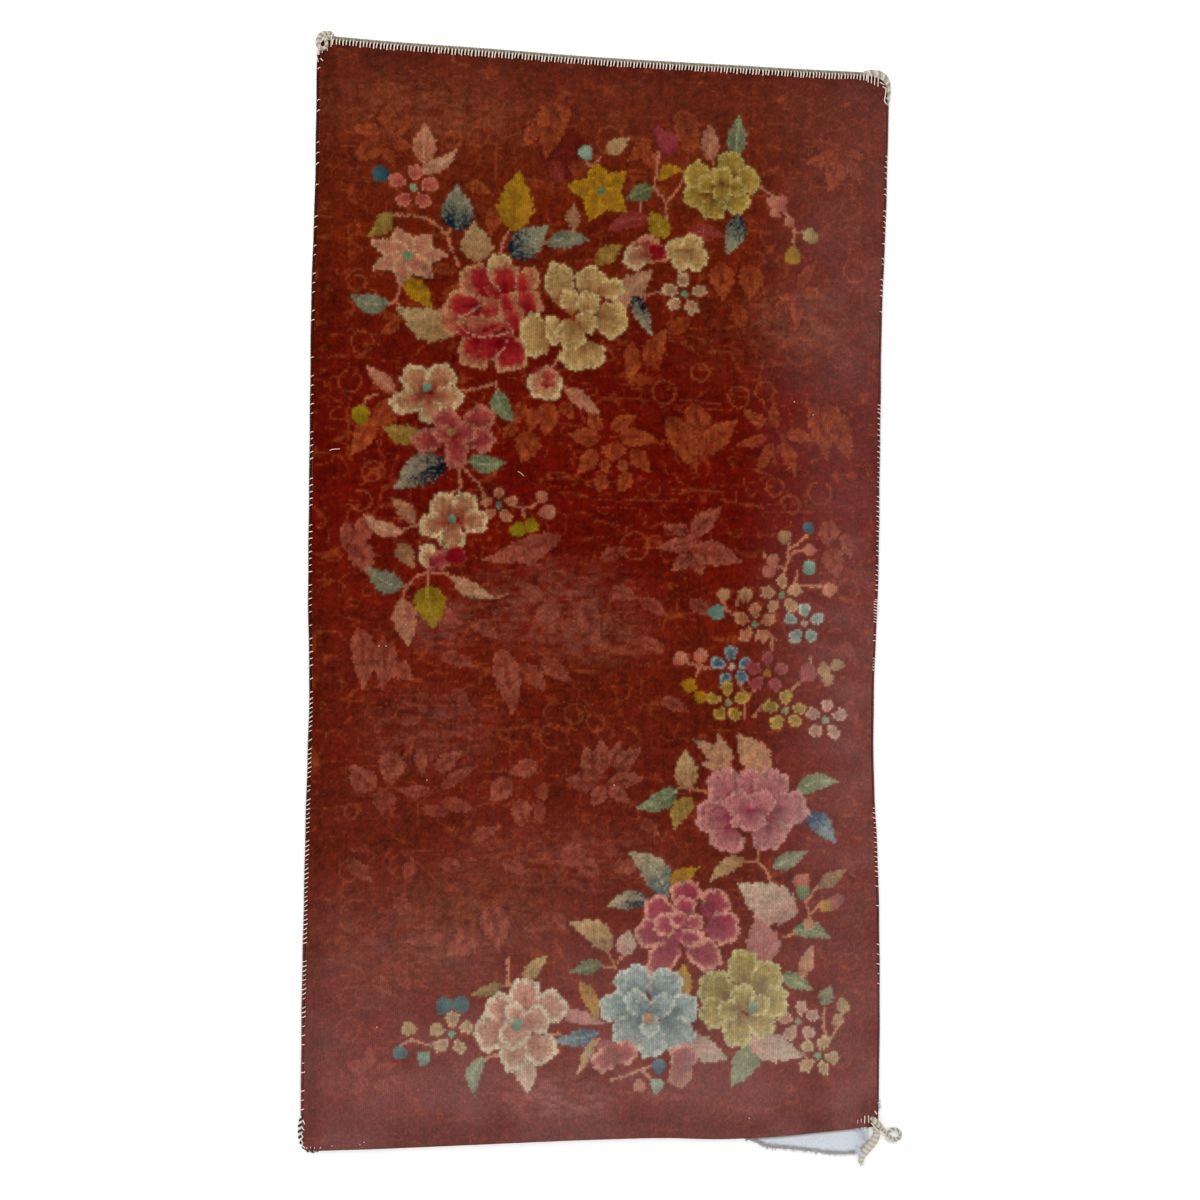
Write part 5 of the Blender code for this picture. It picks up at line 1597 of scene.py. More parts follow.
def strand_tree():
    """Strands that wind round a line, as thick as the line's own thickness says."""
    tree, given, line = start_tree(
        "wound strands", strands=3, pitch=0.012, orbit=0.5, thickness=0.5, step=0.001, sides=7
    )
    line = put(tree, "GeometryNodeResampleCurve", {"Curve": line, "Length": given["Step"]}, mode="LENGTH")
    level = put(tree, "GeometryNodeSetCurveNormal", {"Curve": line.outputs["Curve"]}, mode="Z_UP")
    inputs = {"Geometry": level.outputs["Curve"], "Amount": given["Strands"]}
    copies = put(tree, "GeometryNodeDuplicateElements", inputs, domain="SPLINE").outputs
    size = put(tree, "GeometryNodeInputNamedAttribute", {"Name": "thick"}, data_type="FLOAT").outputs[0]
    length = put(tree, "GeometryNodeSplineParameter").outputs["Length"]
    turns = calc(tree, "DIVIDE", length, given["Pitch"])
    late = calc(tree, "DIVIDE", copies["Duplicate Index"], given["Strands"])
    phase = calc(tree, "MULTIPLY", calc(tree, "ADD", turns, late), 2 * math.pi)
    orbit = calc(tree, "MULTIPLY", size, given["Orbit"])
    normal = put(tree, "GeometryNodeInputNormal").outputs[0]
    upward = join(tree, "CROSS_PRODUCT", normal, put(tree, "GeometryNodeInputTangent").outputs[0])
    aside = times(tree, normal, calc(tree, "MULTIPLY", orbit, calc(tree, "SINE", phase)))
    above = times(tree, upward, calc(tree, "MULTIPLY", orbit, calc(tree, "COSINE", phase)))
    inputs = {"Geometry": copies["Geometry"], "Offset": join(tree, "ADD", aside, above)}
    moved = put(tree, "GeometryNodeSetPosition", inputs).outputs["Geometry"]
    inputs = {"Geometry": moved, "Name": "strand", "Value": copies["Duplicate Index"]}
    marked = put(tree, "GeometryNodeStoreNamedAttribute", inputs, data_type="FLOAT", domain="POINT")
    radius = calc(tree, "MULTIPLY", size, given["Thickness"])
    return end_tree(tree, given, tube(tree, marked.outputs["Geometry"], radius, given["Sides"]))


STRANDS = strand_tree()
print(STRANDS.name, "take", len(STRANDS.nodes), "nodes")


# %% A tree of stitches
def combine(tree, x, y, z):
    """A vector from its x, y and z."""
    return put(tree, "ShaderNodeCombineXYZ", {"X": x, "Y": y, "Z": z}).outputs[0]


def bent_yarn(tree, bends, thickness, steps, sides):
    """A yarn along a curve, from its start by way of two handles to its end."""
    inputs = dict(zip(("Start", "Start Handle", "End Handle", "End"), bends), Resolution=steps)
    bent = put(tree, "GeometryNodeCurvePrimitiveBezierSegment", inputs).outputs["Curve"]
    return tube(tree, bent, thickness, sides)


def random_between(tree, low, high, seed):
    """A number for each copy, from low to high."""
    inputs = {2: low, 3: high, 8: seed}
    return put(tree, "FunctionNodeRandomValue", inputs, data_type="FLOAT").outputs[1]


def stitch_tree():
    """Stitches along a line. Each is a bent yarn, given across the line: outside +Y, inside -Y."""
    tree, given, line = start_tree(
        "row of stitches",
        pitch=0.005,
        outside=(0.0, 0.004, 0.004),
        over=(0.0, 0.002, 0.012),
        across=(0.0, -0.004, 0.012),
        inside=(0.0, -0.005, 0.008),
        thickness=0.001,
        slant=0.0,
        unevenness=0.2,
        missing=0.0,
        seed=0,
    )
    places = put(tree, "GeometryNodeCurveToPoints", {"Curve": line, "Length": given["Pitch"]}, mode="LENGTH")
    bends = [given[name] for name in ("Outside", "Over", "Across", "Inside")]
    yarn = bent_yarn(tree, bends, given["Thickness"], 7, 6)
    chance = calc(tree, "SUBTRACT", 1.0, given["Missing"])
    kept = put(tree, "FunctionNodeRandomValue", {6: chance, 8: given["Seed"]}, data_type="BOOLEAN")
    settings = {"axis": "X", "pivot_axis": "Z"}
    tangent = {"Vector": places.outputs["Tangent"]}
    facing = put(tree, "FunctionNodeAlignRotationToVector", tangent, **settings).outputs[0]
    spread = calc(tree, "MULTIPLY", given["Unevenness"], 0.8)
    next_seed = calc(tree, "ADD", given["Seed"], 1)
    lean = random_between(tree, calc(tree, "MULTIPLY", spread, -1.0), spread, next_seed)
    turned = combine(tree, 0.0, 0.0, calc(tree, "ADD", given["Slant"], lean))
    slant = put(tree, "FunctionNodeEulerToRotation", {0: turned}).outputs[0]
    facing = put(tree, "FunctionNodeRotateRotation", {0: facing, 1: slant}, rotation_space="LOCAL").outputs[0]
    least = calc(tree, "SUBTRACT", 1.0, given["Unevenness"])
    most = calc(tree, "ADD", 1.0, given["Unevenness"])
    size = random_between(tree, least, most, calc(tree, "ADD", given["Seed"], 2))
    inputs = {
        "Points": places.outputs["Points"],
        "Selection": kept.outputs[3],
        "Instance": yarn,
        "Rotation": facing,
        "Scale": combine(tree, size, size, 1.0),
    }
    return end_tree(tree, given, put(tree, "GeometryNodeInstanceOnPoints", inputs).outputs["Instances"])


STITCHES = stitch_tree()
print(STITCHES.name, "takes", len(STITCHES.nodes), "nodes")


# %% A tree of loose fibres
def fibre_tree():
    """Loose fibres that stand off a line, each bent its own way."""
    tree, given, line = start_tree(
        "loose fibres", pitch=0.0004, length=0.006, thickness=0.0001, rise=0.5, seed=0
    )
    places = put(tree, "GeometryNodeCurveToPoints", {"Curve": line, "Length": given["Pitch"]}, mode="LENGTH")
    bends = ((0.0, 0.0, 0.0), (0.4, 0.0, 0.1), (0.7, 0.35, 0.3), (1.0, 0.2, 0.0))
    yarn = bent_yarn(tree, bends, calc(tree, "DIVIDE", given["Thickness"], given["Length"]), 6, 3)
    low = combine(tree, 0.0, calc(tree, "MULTIPLY", given["Rise"], -1.0), 0.0)
    inputs = {0: low, 1: (6.3, 0.1, 6.3), 8: given["Seed"]}
    turned = put(tree, "FunctionNodeRandomValue", inputs, data_type="FLOAT_VECTOR").outputs[0]
    share = random_between(tree, 0.4, 1.2, calc(tree, "ADD", given["Seed"], 5))
    inputs = {
        "Points": places.outputs["Points"],
        "Instance": yarn,
        "Rotation": put(tree, "FunctionNodeEulerToRotation", {0: turned}).outputs[0],
        "Scale": calc(tree, "MULTIPLY", given["Length"], share),
    }
    return end_tree(tree, given, put(tree, "GeometryNodeInstanceOnPoints", inputs).outputs["Instances"])


FIBRES = fibre_tree()
print(FIBRES.name, "take", len(FIBRES.nodes), "nodes")


# %% Growing a tree along a line
def grow(name, tree, lines, material, **sizes):
    """Grows a tree on lines of (x, y, z) or (x, y, z, thickness) points and returns a plain mesh."""
    mesh = bpy.data.meshes.new(name)
    points, links = [], []
    for line in lines:
        links += [(len(points) + i, len(points) + i + 1) for i in range(len(line) - 1)]
        points += list(line)
    mesh.from_pydata([tuple(point[:3]) for point in points], links, [])
    if len(points[0]) > 3:
        thick = mesh.attributes.new("thick", "FLOAT", "POINT")
        thick.data.foreach_set("value", [point[3] for point in points])
    host = add_object(name, mesh)
    modifier = host.modifiers.new("grow", "NODES")
    modifier.node_group = tree
    names = {item.name: item.identifier for item in tree.interface.items_tree if item.in_out == "INPUT"}
    for size, value in sizes.items():
        modifier[names[size.title()]] = value
    modifier[names["Material"]] = material
    graph = bpy.context.evaluated_depsgraph_get()
    grown = bpy.data.meshes.new_from_object(host.evaluated_get(graph))
    host.modifiers.clear()
    host.data = grown
    grown.name = name
    print(name, sum(len(face.vertices) - 2 for face in grown.polygons), "triangles")
    return host


def as_line(*columns):
    """A row for each point of a line, from columns that may also be one value for all."""
    return np.stack(np.broadcast_arrays(*columns), axis=1)


def smooth_route(rows, spacing):
    """Points every spacing along a Catmull-Rom curve through the rows."""
    rows = np.asarray(rows, float)
    padded = np.concatenate([[2 * rows[0] - rows[1]], rows, [2 * rows[-1] - rows[-2]]])
    out = []
    for p0, p1, p2, p3 in zip(padded, padded[1:], padded[2:], padded[3:]):
        count = max(2, int(np.linalg.norm((p2 - p1)[:3]) / spacing))
        for t in np.arange(count) / count:
            bend = p2 - p0 + (2 * p0 - 5 * p1 + 4 * p2 - p3) * t + (3 * p1 - p0 - 3 * p2 + p3) * t * t
            out.append(p1 + 0.5 * t * bend)
    out.append(rows[-1])
    return np.array(out)


# %% [markdown]
# ## Side cords
#
# Both long sides are finished with a cord that is overcast with dark rust wool, over and over, so
# close that no core shows. It is a core with one yarn wound round it.

# %% The overcast sides
WRAP_PITCH = 0.0023
CORD_STEP = 0.006
CORD_WANDER = 0.0002


def side_cord_line(outer, run, toward):
    """Points down the middle of a side cord, with its thickness."""
    y = np.arange(run[0], run[1], CORD_STEP)
    x = outer(y) + toward * SIDE_CORD / 2
    wander = CORD_WANDER * np.sin(y * 61) + CORD_WANDER * np.sin(y * 23)
    return as_line(x + wander, y, SIDE_CORD / 2, SIDE_CORD / 2)


CORE = {"strands": 1, "orbit": 0.0, "thickness": 0.7, "step": 0.01}
WRAP = {"strands": 1, "pitch": WRAP_PITCH, "orbit": 0.68, "thickness": 0.32, "step": 0.00028, "sides": 4}
for side, outer, run, toward in (
    ("left", outer_left, LEFT_CORD_RUN, 1),
    ("right", outer_right, RIGHT_CORD_RUN, -1),
):
    line = side_cord_line(outer, run, toward)
    core = grow(f"side_core_{side}", STRANDS, [line], edge_material, **CORE)
    wrap = grow(f"side_wrap_{side}", STRANDS, [line], edge_material, **WRAP)
    for piece in (core, wrap):
        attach(piece, "root")
        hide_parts(f"side_cord_{side}")

# %% [markdown]
# ## The cord along the top end
#
# A repairer has laid a white cotton cord along the top end and whipped it on with cream thread,
# one stitch every five millimetres, each going over the cord and down into the pile. The cord is
# three plies wound round each other.

# %% The top cord and its whip stitches
PLY_SHARE = 0.464  # radius of one of three plies in a round cord

cord_x = np.arange(END_CORD_LEFT, END_CORD_RIGHT + 0.001, CORD_STEP)
end_line = as_line(cord_x, outer_top(cord_x) - END_CORD / 2, END_CORD / 2, END_CORD / 2)
PLIES = {"strands": 3, "pitch": 0.016, "orbit": 1 - PLY_SHARE, "thickness": PLY_SHARE, "step": 0.0014}
end_cord = grow("end_cord", STRANDS, [end_line], cotton_material, **PLIES)
stitch_material = plain_yarn("cream thread", (250, 228, 212), spread=0.12)
whip_line = end_line[:, :3] * (1, 1, 0)
end_stitches = grow(
    "end_stitches",
    STITCHES,
    [whip_line],
    stitch_material,
    pitch=0.0052,
    outside=(0.0004, -0.0022, 0.0076),
    over=(0.0002, -0.0034, 0.0112),
    across=(-0.0006, -0.0072, 0.0128),
    inside=(-0.0010, -0.0110, 0.0094),
    thickness=0.00100,
    slant=0.05,
    unevenness=0.10,
    seed=4,
)
for piece in (end_cord, end_stitches):
    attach(piece, "root")
    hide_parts("end_cord_top")

# %% [markdown]
# ## Stitches down the sides
#
# Along the sides the overcasting has been caught down with the same cream thread, thickly where
# the edge was mended and here and there elsewhere. A table gives each stretch, read off the
# photo.

# %% Stretches of side stitches
Stretch = namedtuple("Stretch", "side top bottom pitch reach slant missing")
STRETCHES = [Stretch(*row) for row in (
    ("left", 85, 240, 0.016, 0.0030, 0.3, 0.45),
    ("left", 240, 440, 0.014, 0.0032, 0.3, 0.5),
    ("left", 440, 700, 0.0100, 0.0034, 0.35, 0.25),
    ("left", 700, 1010, 0.0070, 0.0044, 0.5, 0.08),
    ("left", 1010, 1100, 0.0130, 0.0036, 0.4, 0.3),
    ("right", 140, 230, 0.0085, 0.0036, -0.3, 0.3),
    ("right", 240, 300, 0.0080, 0.0036, -0.3, 0.25),
    ("right", 396, 404, 0.0060, 0.0040, -0.3, 0.0),
    ("right", 404, 450, 0.0085, 0.0038, -0.3, 0.15),
    ("right", 450, 596, 0.0078, 0.0038, -0.3, 0.15),
    ("right", 598, 619, 0.0042, 0.0068, -0.2, 0.0),
    ("right", 632, 638, 0.0050, 0.0040, -0.2, 0.0),
    ("right", 656, 668, 0.0040, 0.0024, 0.0, 0.0),
    ("right", 810, 890, 0.0078, 0.0038, -0.3, 0.15),
    ("right", 900, 1000, 0.0150, 0.0034, -0.3, 0.45),
)]
FLANK = 0.75 * SIDE_CORD  # how far in the stitches come out of the cord
SIDE_THREAD = 0.00065


def side_stitch_line(row):
    """A line along the inner flank of a side cord, clockwise round the rug."""
    y = np.linspace(photo_row_y(row.top), photo_row_y(row.bottom), 30)
    if row.side == "left":
        y = y[::-1]
        return as_line(outer_left(y) + FLANK, y, 0.0)
    return as_line(outer_right(y) - FLANK, y, 0.0)


for number, row in enumerate(STRETCHES):
    reach = row.reach
    stitches = grow(
        f"side_stitches_{number + 1}",
        STITCHES,
        [side_stitch_line(row)],
        stitch_material,
        pitch=row.pitch,
        outside=(0.0, reach * 0.75, 0.0050),
        over=(0.0, reach * 0.60, 0.0098),
        across=(0.0, reach * -0.35, 0.0115),
        inside=(0.0, reach * -0.60, 0.0086),
        thickness=SIDE_THREAD,
        slant=row.slant,
        unevenness=0.22,
        missing=row.missing,
        seed=20 + number,
    )
    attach(stitches, "root")

# %% [markdown]
# ## Plaits at the corners
#
# The ends of the cords are plaited off and sewn to the corners: a curl at the upper left, a thick
# plait over the upper right, a small dark and light one at the lower left, and at the lower right
# a loop and a short tassel. Each is a rope of two or three strands, and follows a route of photo
# places with a height and a thickness at each. Thin threads are single strands, laid the same
# way.

# %% Routes of the plaits
# Route rows: across and down in the photo, height and half thickness in millimetres.
Plait = namedtuple("Plait", "strands pitch material route")
# painted shade between the strands of the white plaits; the dark and light plait has two real colours
plait_material = plied_yarn("plaited cotton", (222, 214, 198), 0.26)
dark_and_light = plied_yarn("dark and light cotton", (240, 234, 232), 0.94)
PLAITS = {
    "curl_top_left": Plait(3, 0.008, plait_material, (
        (331.5, 33.2, 8, 3.6), (326, 32.8, 9, 3.9), (320.8, 35.4, 11, 4.1), (318.3, 40.4, 12, 4),
        (318.8, 46.2, 12.6, 3.7), (322.8, 49.4, 13, 3.3), (326.6, 46.6, 13.2, 3.1),
        (326.2, 41.8, 13.2, 3), (326.4, 38.2, 12.6, 3), (330, 37, 11.6, 2.6),
    )),
    "plait_top_right": Plait(3, 0.012, plait_material, (
        (866, 72.6, 6.4, 4.4), (871, 72.8, 8, 5.6), (877, 73.8, 9, 6.2), (883, 76.6, 9, 6.4),
        (887.2, 81.8, 8, 5.6), (889, 88.6, 6.6, 4.4), (889.5, 96, 5, 3.2), (889.2, 103.5, 3.6, 2.2),
    )),
    "plait_bottom_left": Plait(2, 0.0085, dark_and_light, (
        (301.2, 1117.5, 5.4, 2.6), (300.2, 1124, 5.6, 3.7), (299.9, 1132, 5.6, 4),
        (300.5, 1140, 5.6, 3.9), (302.2, 1146.4, 5, 3.2), (305.6, 1151, 4.4, 2.6),
        (310.5, 1153.2, 4, 2.4), (318, 1152.9, 3.4, 2),
    )),
    "loop_bottom_right": Plait(3, 0.008, plait_material, (
        (870.6, 1117, 13, 3), (874.2, 1120.4, 13.6, 5.2), (878.2, 1124.4, 12.4, 5.2),
        (882, 1128.6, 9.6, 3.6), (886.6, 1133.8, 6, 3), (891.6, 1138.6, 3.8, 3),
        (897.2, 1141.2, 3.4, 2.9), (901.6, 1138.4, 3.4, 2.8), (900.8, 1133.2, 3.4, 2.8),
        (895.8, 1130.6, 3.4, 2.8), (891.2, 1132.2, 4, 2.7), (889, 1135.4, 6.6, 2.5),
    )),
    "tassel_bottom_right": Plait(2, 0.0075, plait_material, (
        (874.5, 1127.5, 5.4, 3.8), (877.4, 1131.6, 6.4, 5.4), (876.2, 1138.2, 7.8, 6.4),
        (871.4, 1145, 8.6, 6.6), (865.8, 1151.2, 8.6, 6.6), (862, 1157.4, 7.6, 5.6),
        (861.6, 1163, 5.4, 4.2), (862.8, 1166.6, 3.4, 2.6),
    )),
}
print(len(PLAITS), "plaits")

# %% Routes of the threads
THREADS = (
    # at the upper left: what hangs from the curl, and two long stitches
    ((331, 36.6, 9, 1.9), (327, 36.4, 9.8, 2.1), (323.8, 38, 10.4, 2.2), (322.2, 40.8, 10.8, 1.7)),
    ((319, 47.6, 8, 2.1), (318.6, 50, 6.6, 2.1), (318.4, 53.4, 5, 1.9)),
    ((322.6, 48.5, 12, 0.8), (322.2, 53, 11.4, 0.6)),
    ((317.2, 49.5, 11.6, 0.8), (316.8, 56, 11.4, 0.8), (318.4, 62, 11.2, 0.7)),
    ((320.4, 58.6, 11.4, 0.7), (323.2, 61, 11.2, 0.7)),
    ((331.4, 35.5, 11.6, 0.9), (331, 47, 10.8, 0.7)),
    ((324.4, 35, 12.4, 0.8), (327.6, 40, 11.8, 0.8), (327.2, 46, 11.4, 0.7), (327.4, 51, 10.8, 0.6)),
    # at the upper right: the last teeth, slanting dashes and a wavy end
    ((868, 74.4, 11.8, 1), (868, 82.4, 10.8, 0.8)), ((871.4, 75, 11.8, 1), (871.2, 83.4, 10.8, 0.8)),
    ((874.8, 75.4, 11.8, 1), (874.4, 85, 10.8, 0.8)), ((878.2, 76.2, 11.8, 1), (877.8, 86.6, 10.8, 0.8)),
    ((880.6, 79, 12, 0.9), (884.4, 81.4, 11.8, 0.7)), ((879.6, 82.6, 11.8, 0.9), (884.2, 85, 11.4, 0.7)),
    ((882.4, 87, 11.6, 0.9), (886.2, 88.6, 11.2, 0.7)),
    ((885.8, 89, 11.4, 0.9), (885.2, 96, 11.2, 0.9), (884.4, 101, 11, 0.9), (886.8, 104.6, 10.8, 0.7)),
    ((886.4, 98, 11, 0.8), (889.6, 99.4, 8, 0.7)),
    # at the lower left: dashes up the side and round the corner
    ((303, 1120, 11, 0.9), (304.8, 1124, 11.2, 0.7)), ((301.8, 1127, 10.8, 0.9), (304.2, 1130, 11.2, 0.7)),
    ((301.2, 1134, 10.8, 0.9), (303.2, 1137, 11.2, 0.7)),
    ((300.8, 1140, 10.8, 0.9), (303.2, 1143, 11.2, 0.7)),
    ((301.8, 1145, 10.8, 0.9), (305.2, 1148, 11.2, 0.8)),
    ((305.4, 1151, 9.8, 0.9), (307.2, 1146.8, 11.4, 0.7)),
    ((309.4, 1150.8, 9.8, 0.9), (310.8, 1146.4, 11.4, 0.7)),
    ((313.8, 1150.4, 9.8, 0.9), (314.8, 1147, 11.4, 0.7)),
    ((318.8, 1150, 9.8, 0.9), (320.8, 1147, 11.4, 0.7)),
    # at the lower right
    ((870.4, 1122, 14.8, 1), (876, 1128.4, 14.4, 1.1), (881.4, 1133.6, 10.4, 1.1), (886.6, 1138.4, 6, 1.1),
     (890.8, 1143, 3, 0.9)),
    ((864.6, 1115.5, 11.6, 0.9), (864.4, 1123, 11.4, 0.8)),
    ((868.2, 1115, 11.6, 0.9), (868.6, 1122.5, 11.4, 0.8)),
    ((861, 1118.5, 11.4, 0.6), (861, 1124, 11, 0.5)), ((857.5, 1119.5, 11.4, 0.5), (857.4, 1125, 11, 0.4)),
    ((874.4, 1110.6, 11.4, 1.1), (876.6, 1113.8, 11.2, 1.1)),
    # loose ends on the field
    ((329.6, 450.6, 11.8, 0.5), (333, 449.4, 12, 0.6), (340, 449, 11.8, 0.5)),
    ((518, 471.6, 11.8, 0.3), (520.6, 473, 12, 0.4), (524, 476.4, 11.8, 0.3)),
)
FLECKS = (
    (322, 60), (427, 780), (614, 785), (749, 1118), (636, 1001), (719, 970), (377, 1027), (379, 646),
    (386, 646), (332, 1145.6), (360, 1144), (364, 1142), (813, 415), (794, 402),
)
FLECK_SIZE = 0.0007
FLECK_HEIGHT = 0.0114
print(len(THREADS), "threads,", len(FLECKS), "flecks")

# %% Plaits, threads and flecks
LEADS = {"curl_top_left": (END_CORD_LEFT, -1), "plait_top_right": (END_CORD_RIGHT, 1)}


def route_points(route):
    """World points from a route's rows, with their thickness where the rows give one."""
    return [(*rug_place(across, down), *(size / 1000 for size in sizes)) for across, down, *sizes in route]


def lead_from_end_cord(end_x, away):
    """Points that carry a plait on from the end of the top cord."""
    x = end_x + away * (GAP + CORD_LEAD * np.array([0, 0.5]))
    radius = END_CORD / 2
    return [(at, float(outer_top(at)) - radius, radius, radius) for at in x]


PLAITED = {"orbit": 0.52, "thickness": 0.50, "step": 0.0006, "sides": 8}
plaits = []
for name, row in PLAITS.items():
    lead = lead_from_end_cord(*LEADS[name]) if name in LEADS else []
    route = smooth_route(lead + route_points(row.route), 0.0012)
    size = {"strands": row.strands, "pitch": row.pitch, **PLAITED}
    plait = grow(name + "_braid", STRANDS, [route], row.material, **size)
    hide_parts(name)
    plaits.append(plait)
threads = [smooth_route(route_points(route), 0.0015) for route in THREADS]
for across, down in FLECKS:
    place = rug_place(across, down)
    ends = (place[0] - FLECK_SIZE, place[0] + FLECK_SIZE)
    threads.append([(end, place[1], FLECK_HEIGHT, FLECK_SIZE) for end in ends])
plaits.append(grow("loose_threads", STRANDS, threads, stitch_material, strands=1, orbit=0.0, thickness=1.0))

# %% [markdown]
# ## Fuzz
#
# Old cotton goes fuzzy where it rubs. Loose fibres stand off the plaits and the cut edges: each
# is one bent hair, turned and sized at random, and planted every fraction of a millimetre on a
# line.

# %% Where fibres stand
Fuzz = namedtuple("Fuzz", "length pitch thickness route")
FUZZ = [Fuzz(*row) for row in (
    (0.0044, 0.00026, 0.00036, ((887, 1139.5, 2.4), (893, 1143.6, 2.4), (899, 1143.6, 2.4))),
    (0.0044, 0.00018, 0.00036, ((857, 1129, 5), (862, 1136, 6), (866, 1143, 6))),
    (0.0044, 0.00026, 0.00036, ((860, 1126, 8), (866, 1130, 9), (869, 1137, 9))),
    (0.0050, 0.00014, 0.00038, ((856, 1146, 8), (859, 1153, 10), (863, 1164, 7))),
    (0.0044, 0.00020, 0.00036, ((879.4, 1101, 3), (881, 1106, 3), (880, 1111, 3))),
    (0.0026, 0.00036, 0.00026, ((880, 1128, 9), (892, 1132, 5), (901, 1136, 5))),
    (0.0022, 0.00040, 0.00018, ((317.5, 36, 10), (315.8, 42, 11), (318, 48, 12))),
    (0.0024, 0.00036, 0.00018, ((872, 70.4, 5), (884.4, 73.4, 5), (891, 84, 4))),
    (0.0018, 0.00050, 0.00016, ((300, 1120, 5), (297.8, 1132, 5), (300.6, 1146, 5))),
)]
for number, row in enumerate(FUZZ):
    line = smooth_route(route_points(row.route), 0.002)
    size = {"length": row.length, "pitch": row.pitch, "thickness": row.thickness, "rise": 0.9}
    plaits.append(grow(f"fuzz_{number + 1}", FIBRES, [line], fuzz_material, seed=60 + number, **size))
top_fuzz = end_line[:, :3] + (0, END_CORD / 2 - 0.0004, 0)
size = {"length": 0.0022, "pitch": 0.0010, "thickness": 0.0001}
plaits.append(grow("top_cord_fuzz", FIBRES, [top_fuzz], fuzz_material, seed=80, **size))
for plait in plaits:
    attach(plait, "root")

# %% [markdown]
# ## The cotton web
#
# Below the last row of knots the foundation goes on as a strip of plain-woven cotton. It is
# folded under the rug, and at the right it has come open and shows as a pale wedge. It starts
# under the lowest knots, runs out, folds back on itself, and ends in cut threads.

# %% The folded line of the web
WEB_STATION = 0.004
OUT_POINTS, TURN_POINTS, BACK_POINTS = 18, 7, 7
RIPPLE = 0.0003
RIPPLES_FROM = 0.02  # the web ripples in full where it reaches out this far


def web_shows(x):
    """How far the web reaches out from under the rug at x."""
    return np.where(x < WEB_SHOWS[0].x, 0.0, along_table(WEB_SHOWS, "shows", x))


def web_line(x):
    """The middle line of the folded web at x, as (y, z) points from its root to its free edge."""
    root = float(pile_bottom(x)) - SIDE_GAP
    upper = TUCK_LIFT + WEB_THICKNESS / 2
    lower = upper - 2 * FOLD_RADIUS
    out = max(WEB_STUB, float(web_shows(x)) - SIDE_GAP - FOLD_RADIUS - WEB_THICKNESS / 2)
    back = max(WEB_TURN, WEB_WIDTH - out - math.pi * FOLD_RADIUS)
    free = max(0.0, out - back - WEB_REST)
    sag = WEB_SAG * min(1.0, free / WEB_SAG_WIDTH)
    line = []
    for t in np.linspace(0, 1, OUT_POINTS)[:-1]:
        along = out * t
        drop = sag * math.sin(math.pi * min(1.0, along / free)) ** 2 if free > 0 else 0.0
        ripple = RIPPLE * math.sin(x * 190 + along * 300) * min(1.0, out / RIPPLES_FROM) * t
        line.append((root - along, upper - drop + abs(ripple)))
    for a in np.linspace(0, math.pi, TURN_POINTS):
        height = upper - FOLD_RADIUS + FOLD_RADIUS * math.cos(a)
        line.append((root - out - FOLD_RADIUS * math.sin(a), height))
    for t in np.linspace(0, 1, BACK_POINTS)[1:]:
        line.append((root - out + back * t, lower))
    return np.array(line)


print("the web reaches", 1000 * max(row.shows for row in WEB_SHOWS), "mm out at its widest")

# %% The web and its cut threads
WEB_WHITE = wool(240, 247, 255)
# Painted light: a highlight along a ridge of the web, and the pile's shade on the web's root.
WEB_RIDGE_HIGHLIGHT = wool(252, 254, 255)
WEB_GRUBBY = wool(192, 190, 192)
WEB_SHADE = wool(158, 154, 150)
GRUBBY_REACH, GRUBBY_FADE = 0.0040, 0.005  # from the folded edge
SHADED_REACH, SHADED_FADE = 0.0030, 0.004  # from the root
RIDGE_PLACE, RIDGE_WIDTH = 0.0085, 0.0016


def web_colours(x, lines):
    """Bluish white, with painted shade at the root under the pile, a painted highlight along a ridge and a
    grubby outer edge.
    """
    root, edge = lines[:, :1, 0], lines[:, :, 0].min(axis=1, keepdims=True)
    from_root = root - lines[:, :, 0]
    from_edge = lines[:, :, 0] - edge
    wander = 0.003 * (value_noise(x, lines[:, :, 0], 0.006, 0.05, 71) - 0.5)
    grubby = 1 - smooth_step((from_edge - GRUBBY_REACH - wander) / GRUBBY_FADE)
    shaded = 1 - smooth_step((from_root - SHADED_REACH) / SHADED_FADE)
    ridge_highlight = np.exp(-(((from_root - RIDGE_PLACE) / RIDGE_WIDTH) ** 2))
    colours = np.broadcast_to(WEB_WHITE, (*from_root.shape, 3)).copy()
    for share, colour in ((ridge_highlight * 0.7, WEB_RIDGE_HIGHLIGHT), (grubby * 0.85, WEB_GRUBBY), (shaded * 0.85, WEB_SHADE)):
        colours += (colour - colours) * share[:, :, None]
    return colours


def folded_web():
    """The web as one thin closed strip, folded along its length."""
    stations = np.arange(-WEB_REACH, WEB_REACH + 0.001, WEB_STATION)
    lines = np.array([web_line(x) for x in stations])
    along = np.gradient(lines, axis=1)
    along /= np.linalg.norm(along, axis=2, keepdims=True)
    normal = np.stack([along[:, :, 1], -along[:, :, 0]], axis=2) * WEB_THICKNESS / 2
    x = np.broadcast_to(stations[:, None], lines.shape[:2])
    upper, lower = (np.dstack([x, lines + side * normal]).reshape(-1, 3) for side in (1, -1))
    points = np.concatenate([upper, lower])
    strip = add_cloth("cotton_web_strip", points, sheet_faces(lines.shape[:2]), web_material)
    paint(strip, "web_colour", np.tile(web_colours(x, lines).reshape(-1, 3), (2, 1)), "POINT")
    return strip


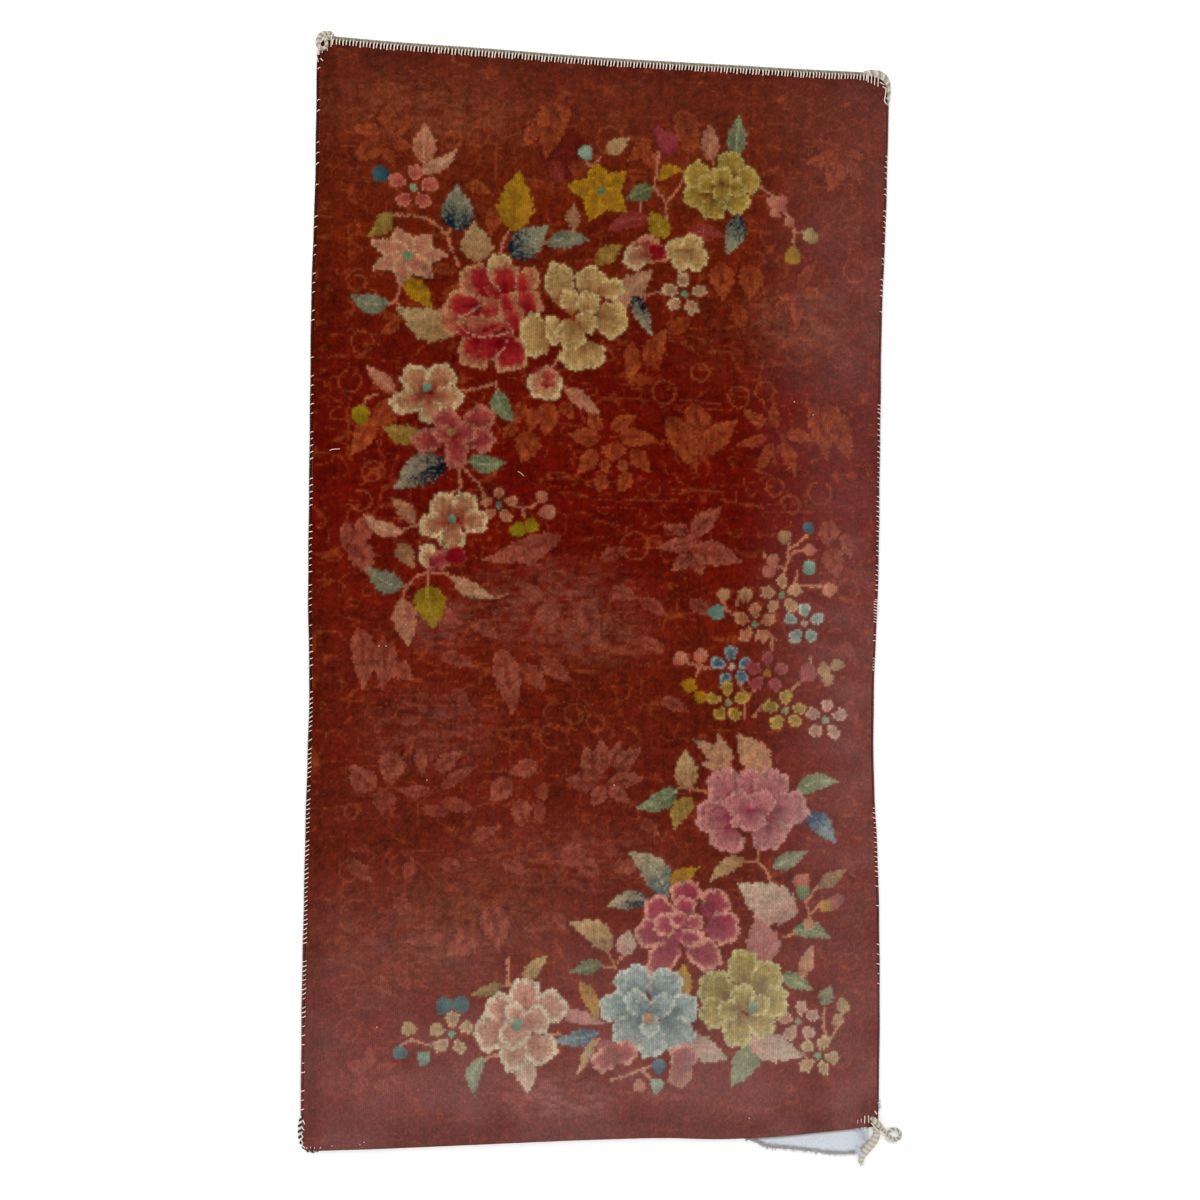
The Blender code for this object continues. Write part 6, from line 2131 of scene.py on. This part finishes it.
web = folded_web()
FRAYED_FROM_X = 0.235
fringe_x = np.arange(FRAYED_FROM_X, WEB_REACH - WEB_STATION, WEB_STATION)
fringe_edge = np.array([web_line(x)[:, 0].min() for x in fringe_x])
fringe_line = as_line(fringe_x, fringe_edge + 0.0004, 0.0021)
size = {"length": 0.0050, "pitch": 0.0004, "thickness": 0.0003}
fringe = grow("web_fringe", FIBRES, [fringe_line], frayed_material, seed=9, **size)
tufts_line = as_line(fringe_x[2:], fringe_edge[2:] + 0.0030, 0.0040)
size = {"length": 0.0036, "pitch": 0.0005, "thickness": 0.00026}
tufts = grow("web_tufts", FIBRES, [tufts_line], frayed_material, seed=10, **size)
for piece in (web, fringe, tufts):
    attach(piece, "root")
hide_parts("end_web")

# %% [markdown]
# ## Floor and light
#
# The rug was photographed on white, in even light. A white room lights it from all round, a large
# soft lamp at the upper left gives the stitches their shadows, and the floor glows a little, so
# that it stays white beside the dark wool.

# %% Floor, light and colour
LAMP_PLACE = Vector((-1.5, 1.8, 2.4))
FLOOR_REACH = 4.0
FLOOR_GLOW = 0.24

floor_mesh = bpy.data.meshes.new("floor")
floor_corners = [(x * FLOOR_REACH, y * FLOOR_REACH, 0) for x, y in ((-1, -1), (1, -1), (1, 1), (-1, 1))]
floor_mesh.from_pydata(floor_corners, [], [(0, 1, 2, 3)])
floor = add_object("floor", floor_mesh)
floor_material, _, floor_shader = start_material("white paper", 0.9, 0.1)
floor_shader["Base Color"].default_value = (0.97, 0.97, 0.97, 1)
floor_shader["Emission Color"].default_value = (1, 1, 1, 1)
floor_shader["Emission Strength"].default_value = FLOOR_GLOW
floor_mesh.materials.append(floor_material)

world = bpy.data.worlds.new("white room")
world.use_nodes = True
sky = world.node_tree.nodes["Background"].inputs
sky["Color"].default_value = (1, 1, 1, 1)
sky["Strength"].default_value = 0.80
bpy.context.scene.world = world
lamp_data = bpy.data.lights.new("window", "AREA")
lamp_data.energy = 24
lamp_data.size = 2.0
lamp = add_object("window", lamp_data)
lamp.location = LAMP_PLACE
lamp.rotation_euler = LAMP_PLACE.to_track_quat("Z", "Y").to_euler()
bpy.context.scene.view_settings.view_transform = "Standard"
print("lamp", round(LAMP_PLACE.length, 2), "m from the rug")

# %% [markdown]
# ## What each piece stands for
#
# The pile and the foundation take the place of the plain solid of the rug.

# %% What each piece stands for
for piece in halves + [foundation]:
    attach(piece, "root")
    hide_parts("rug_pile")
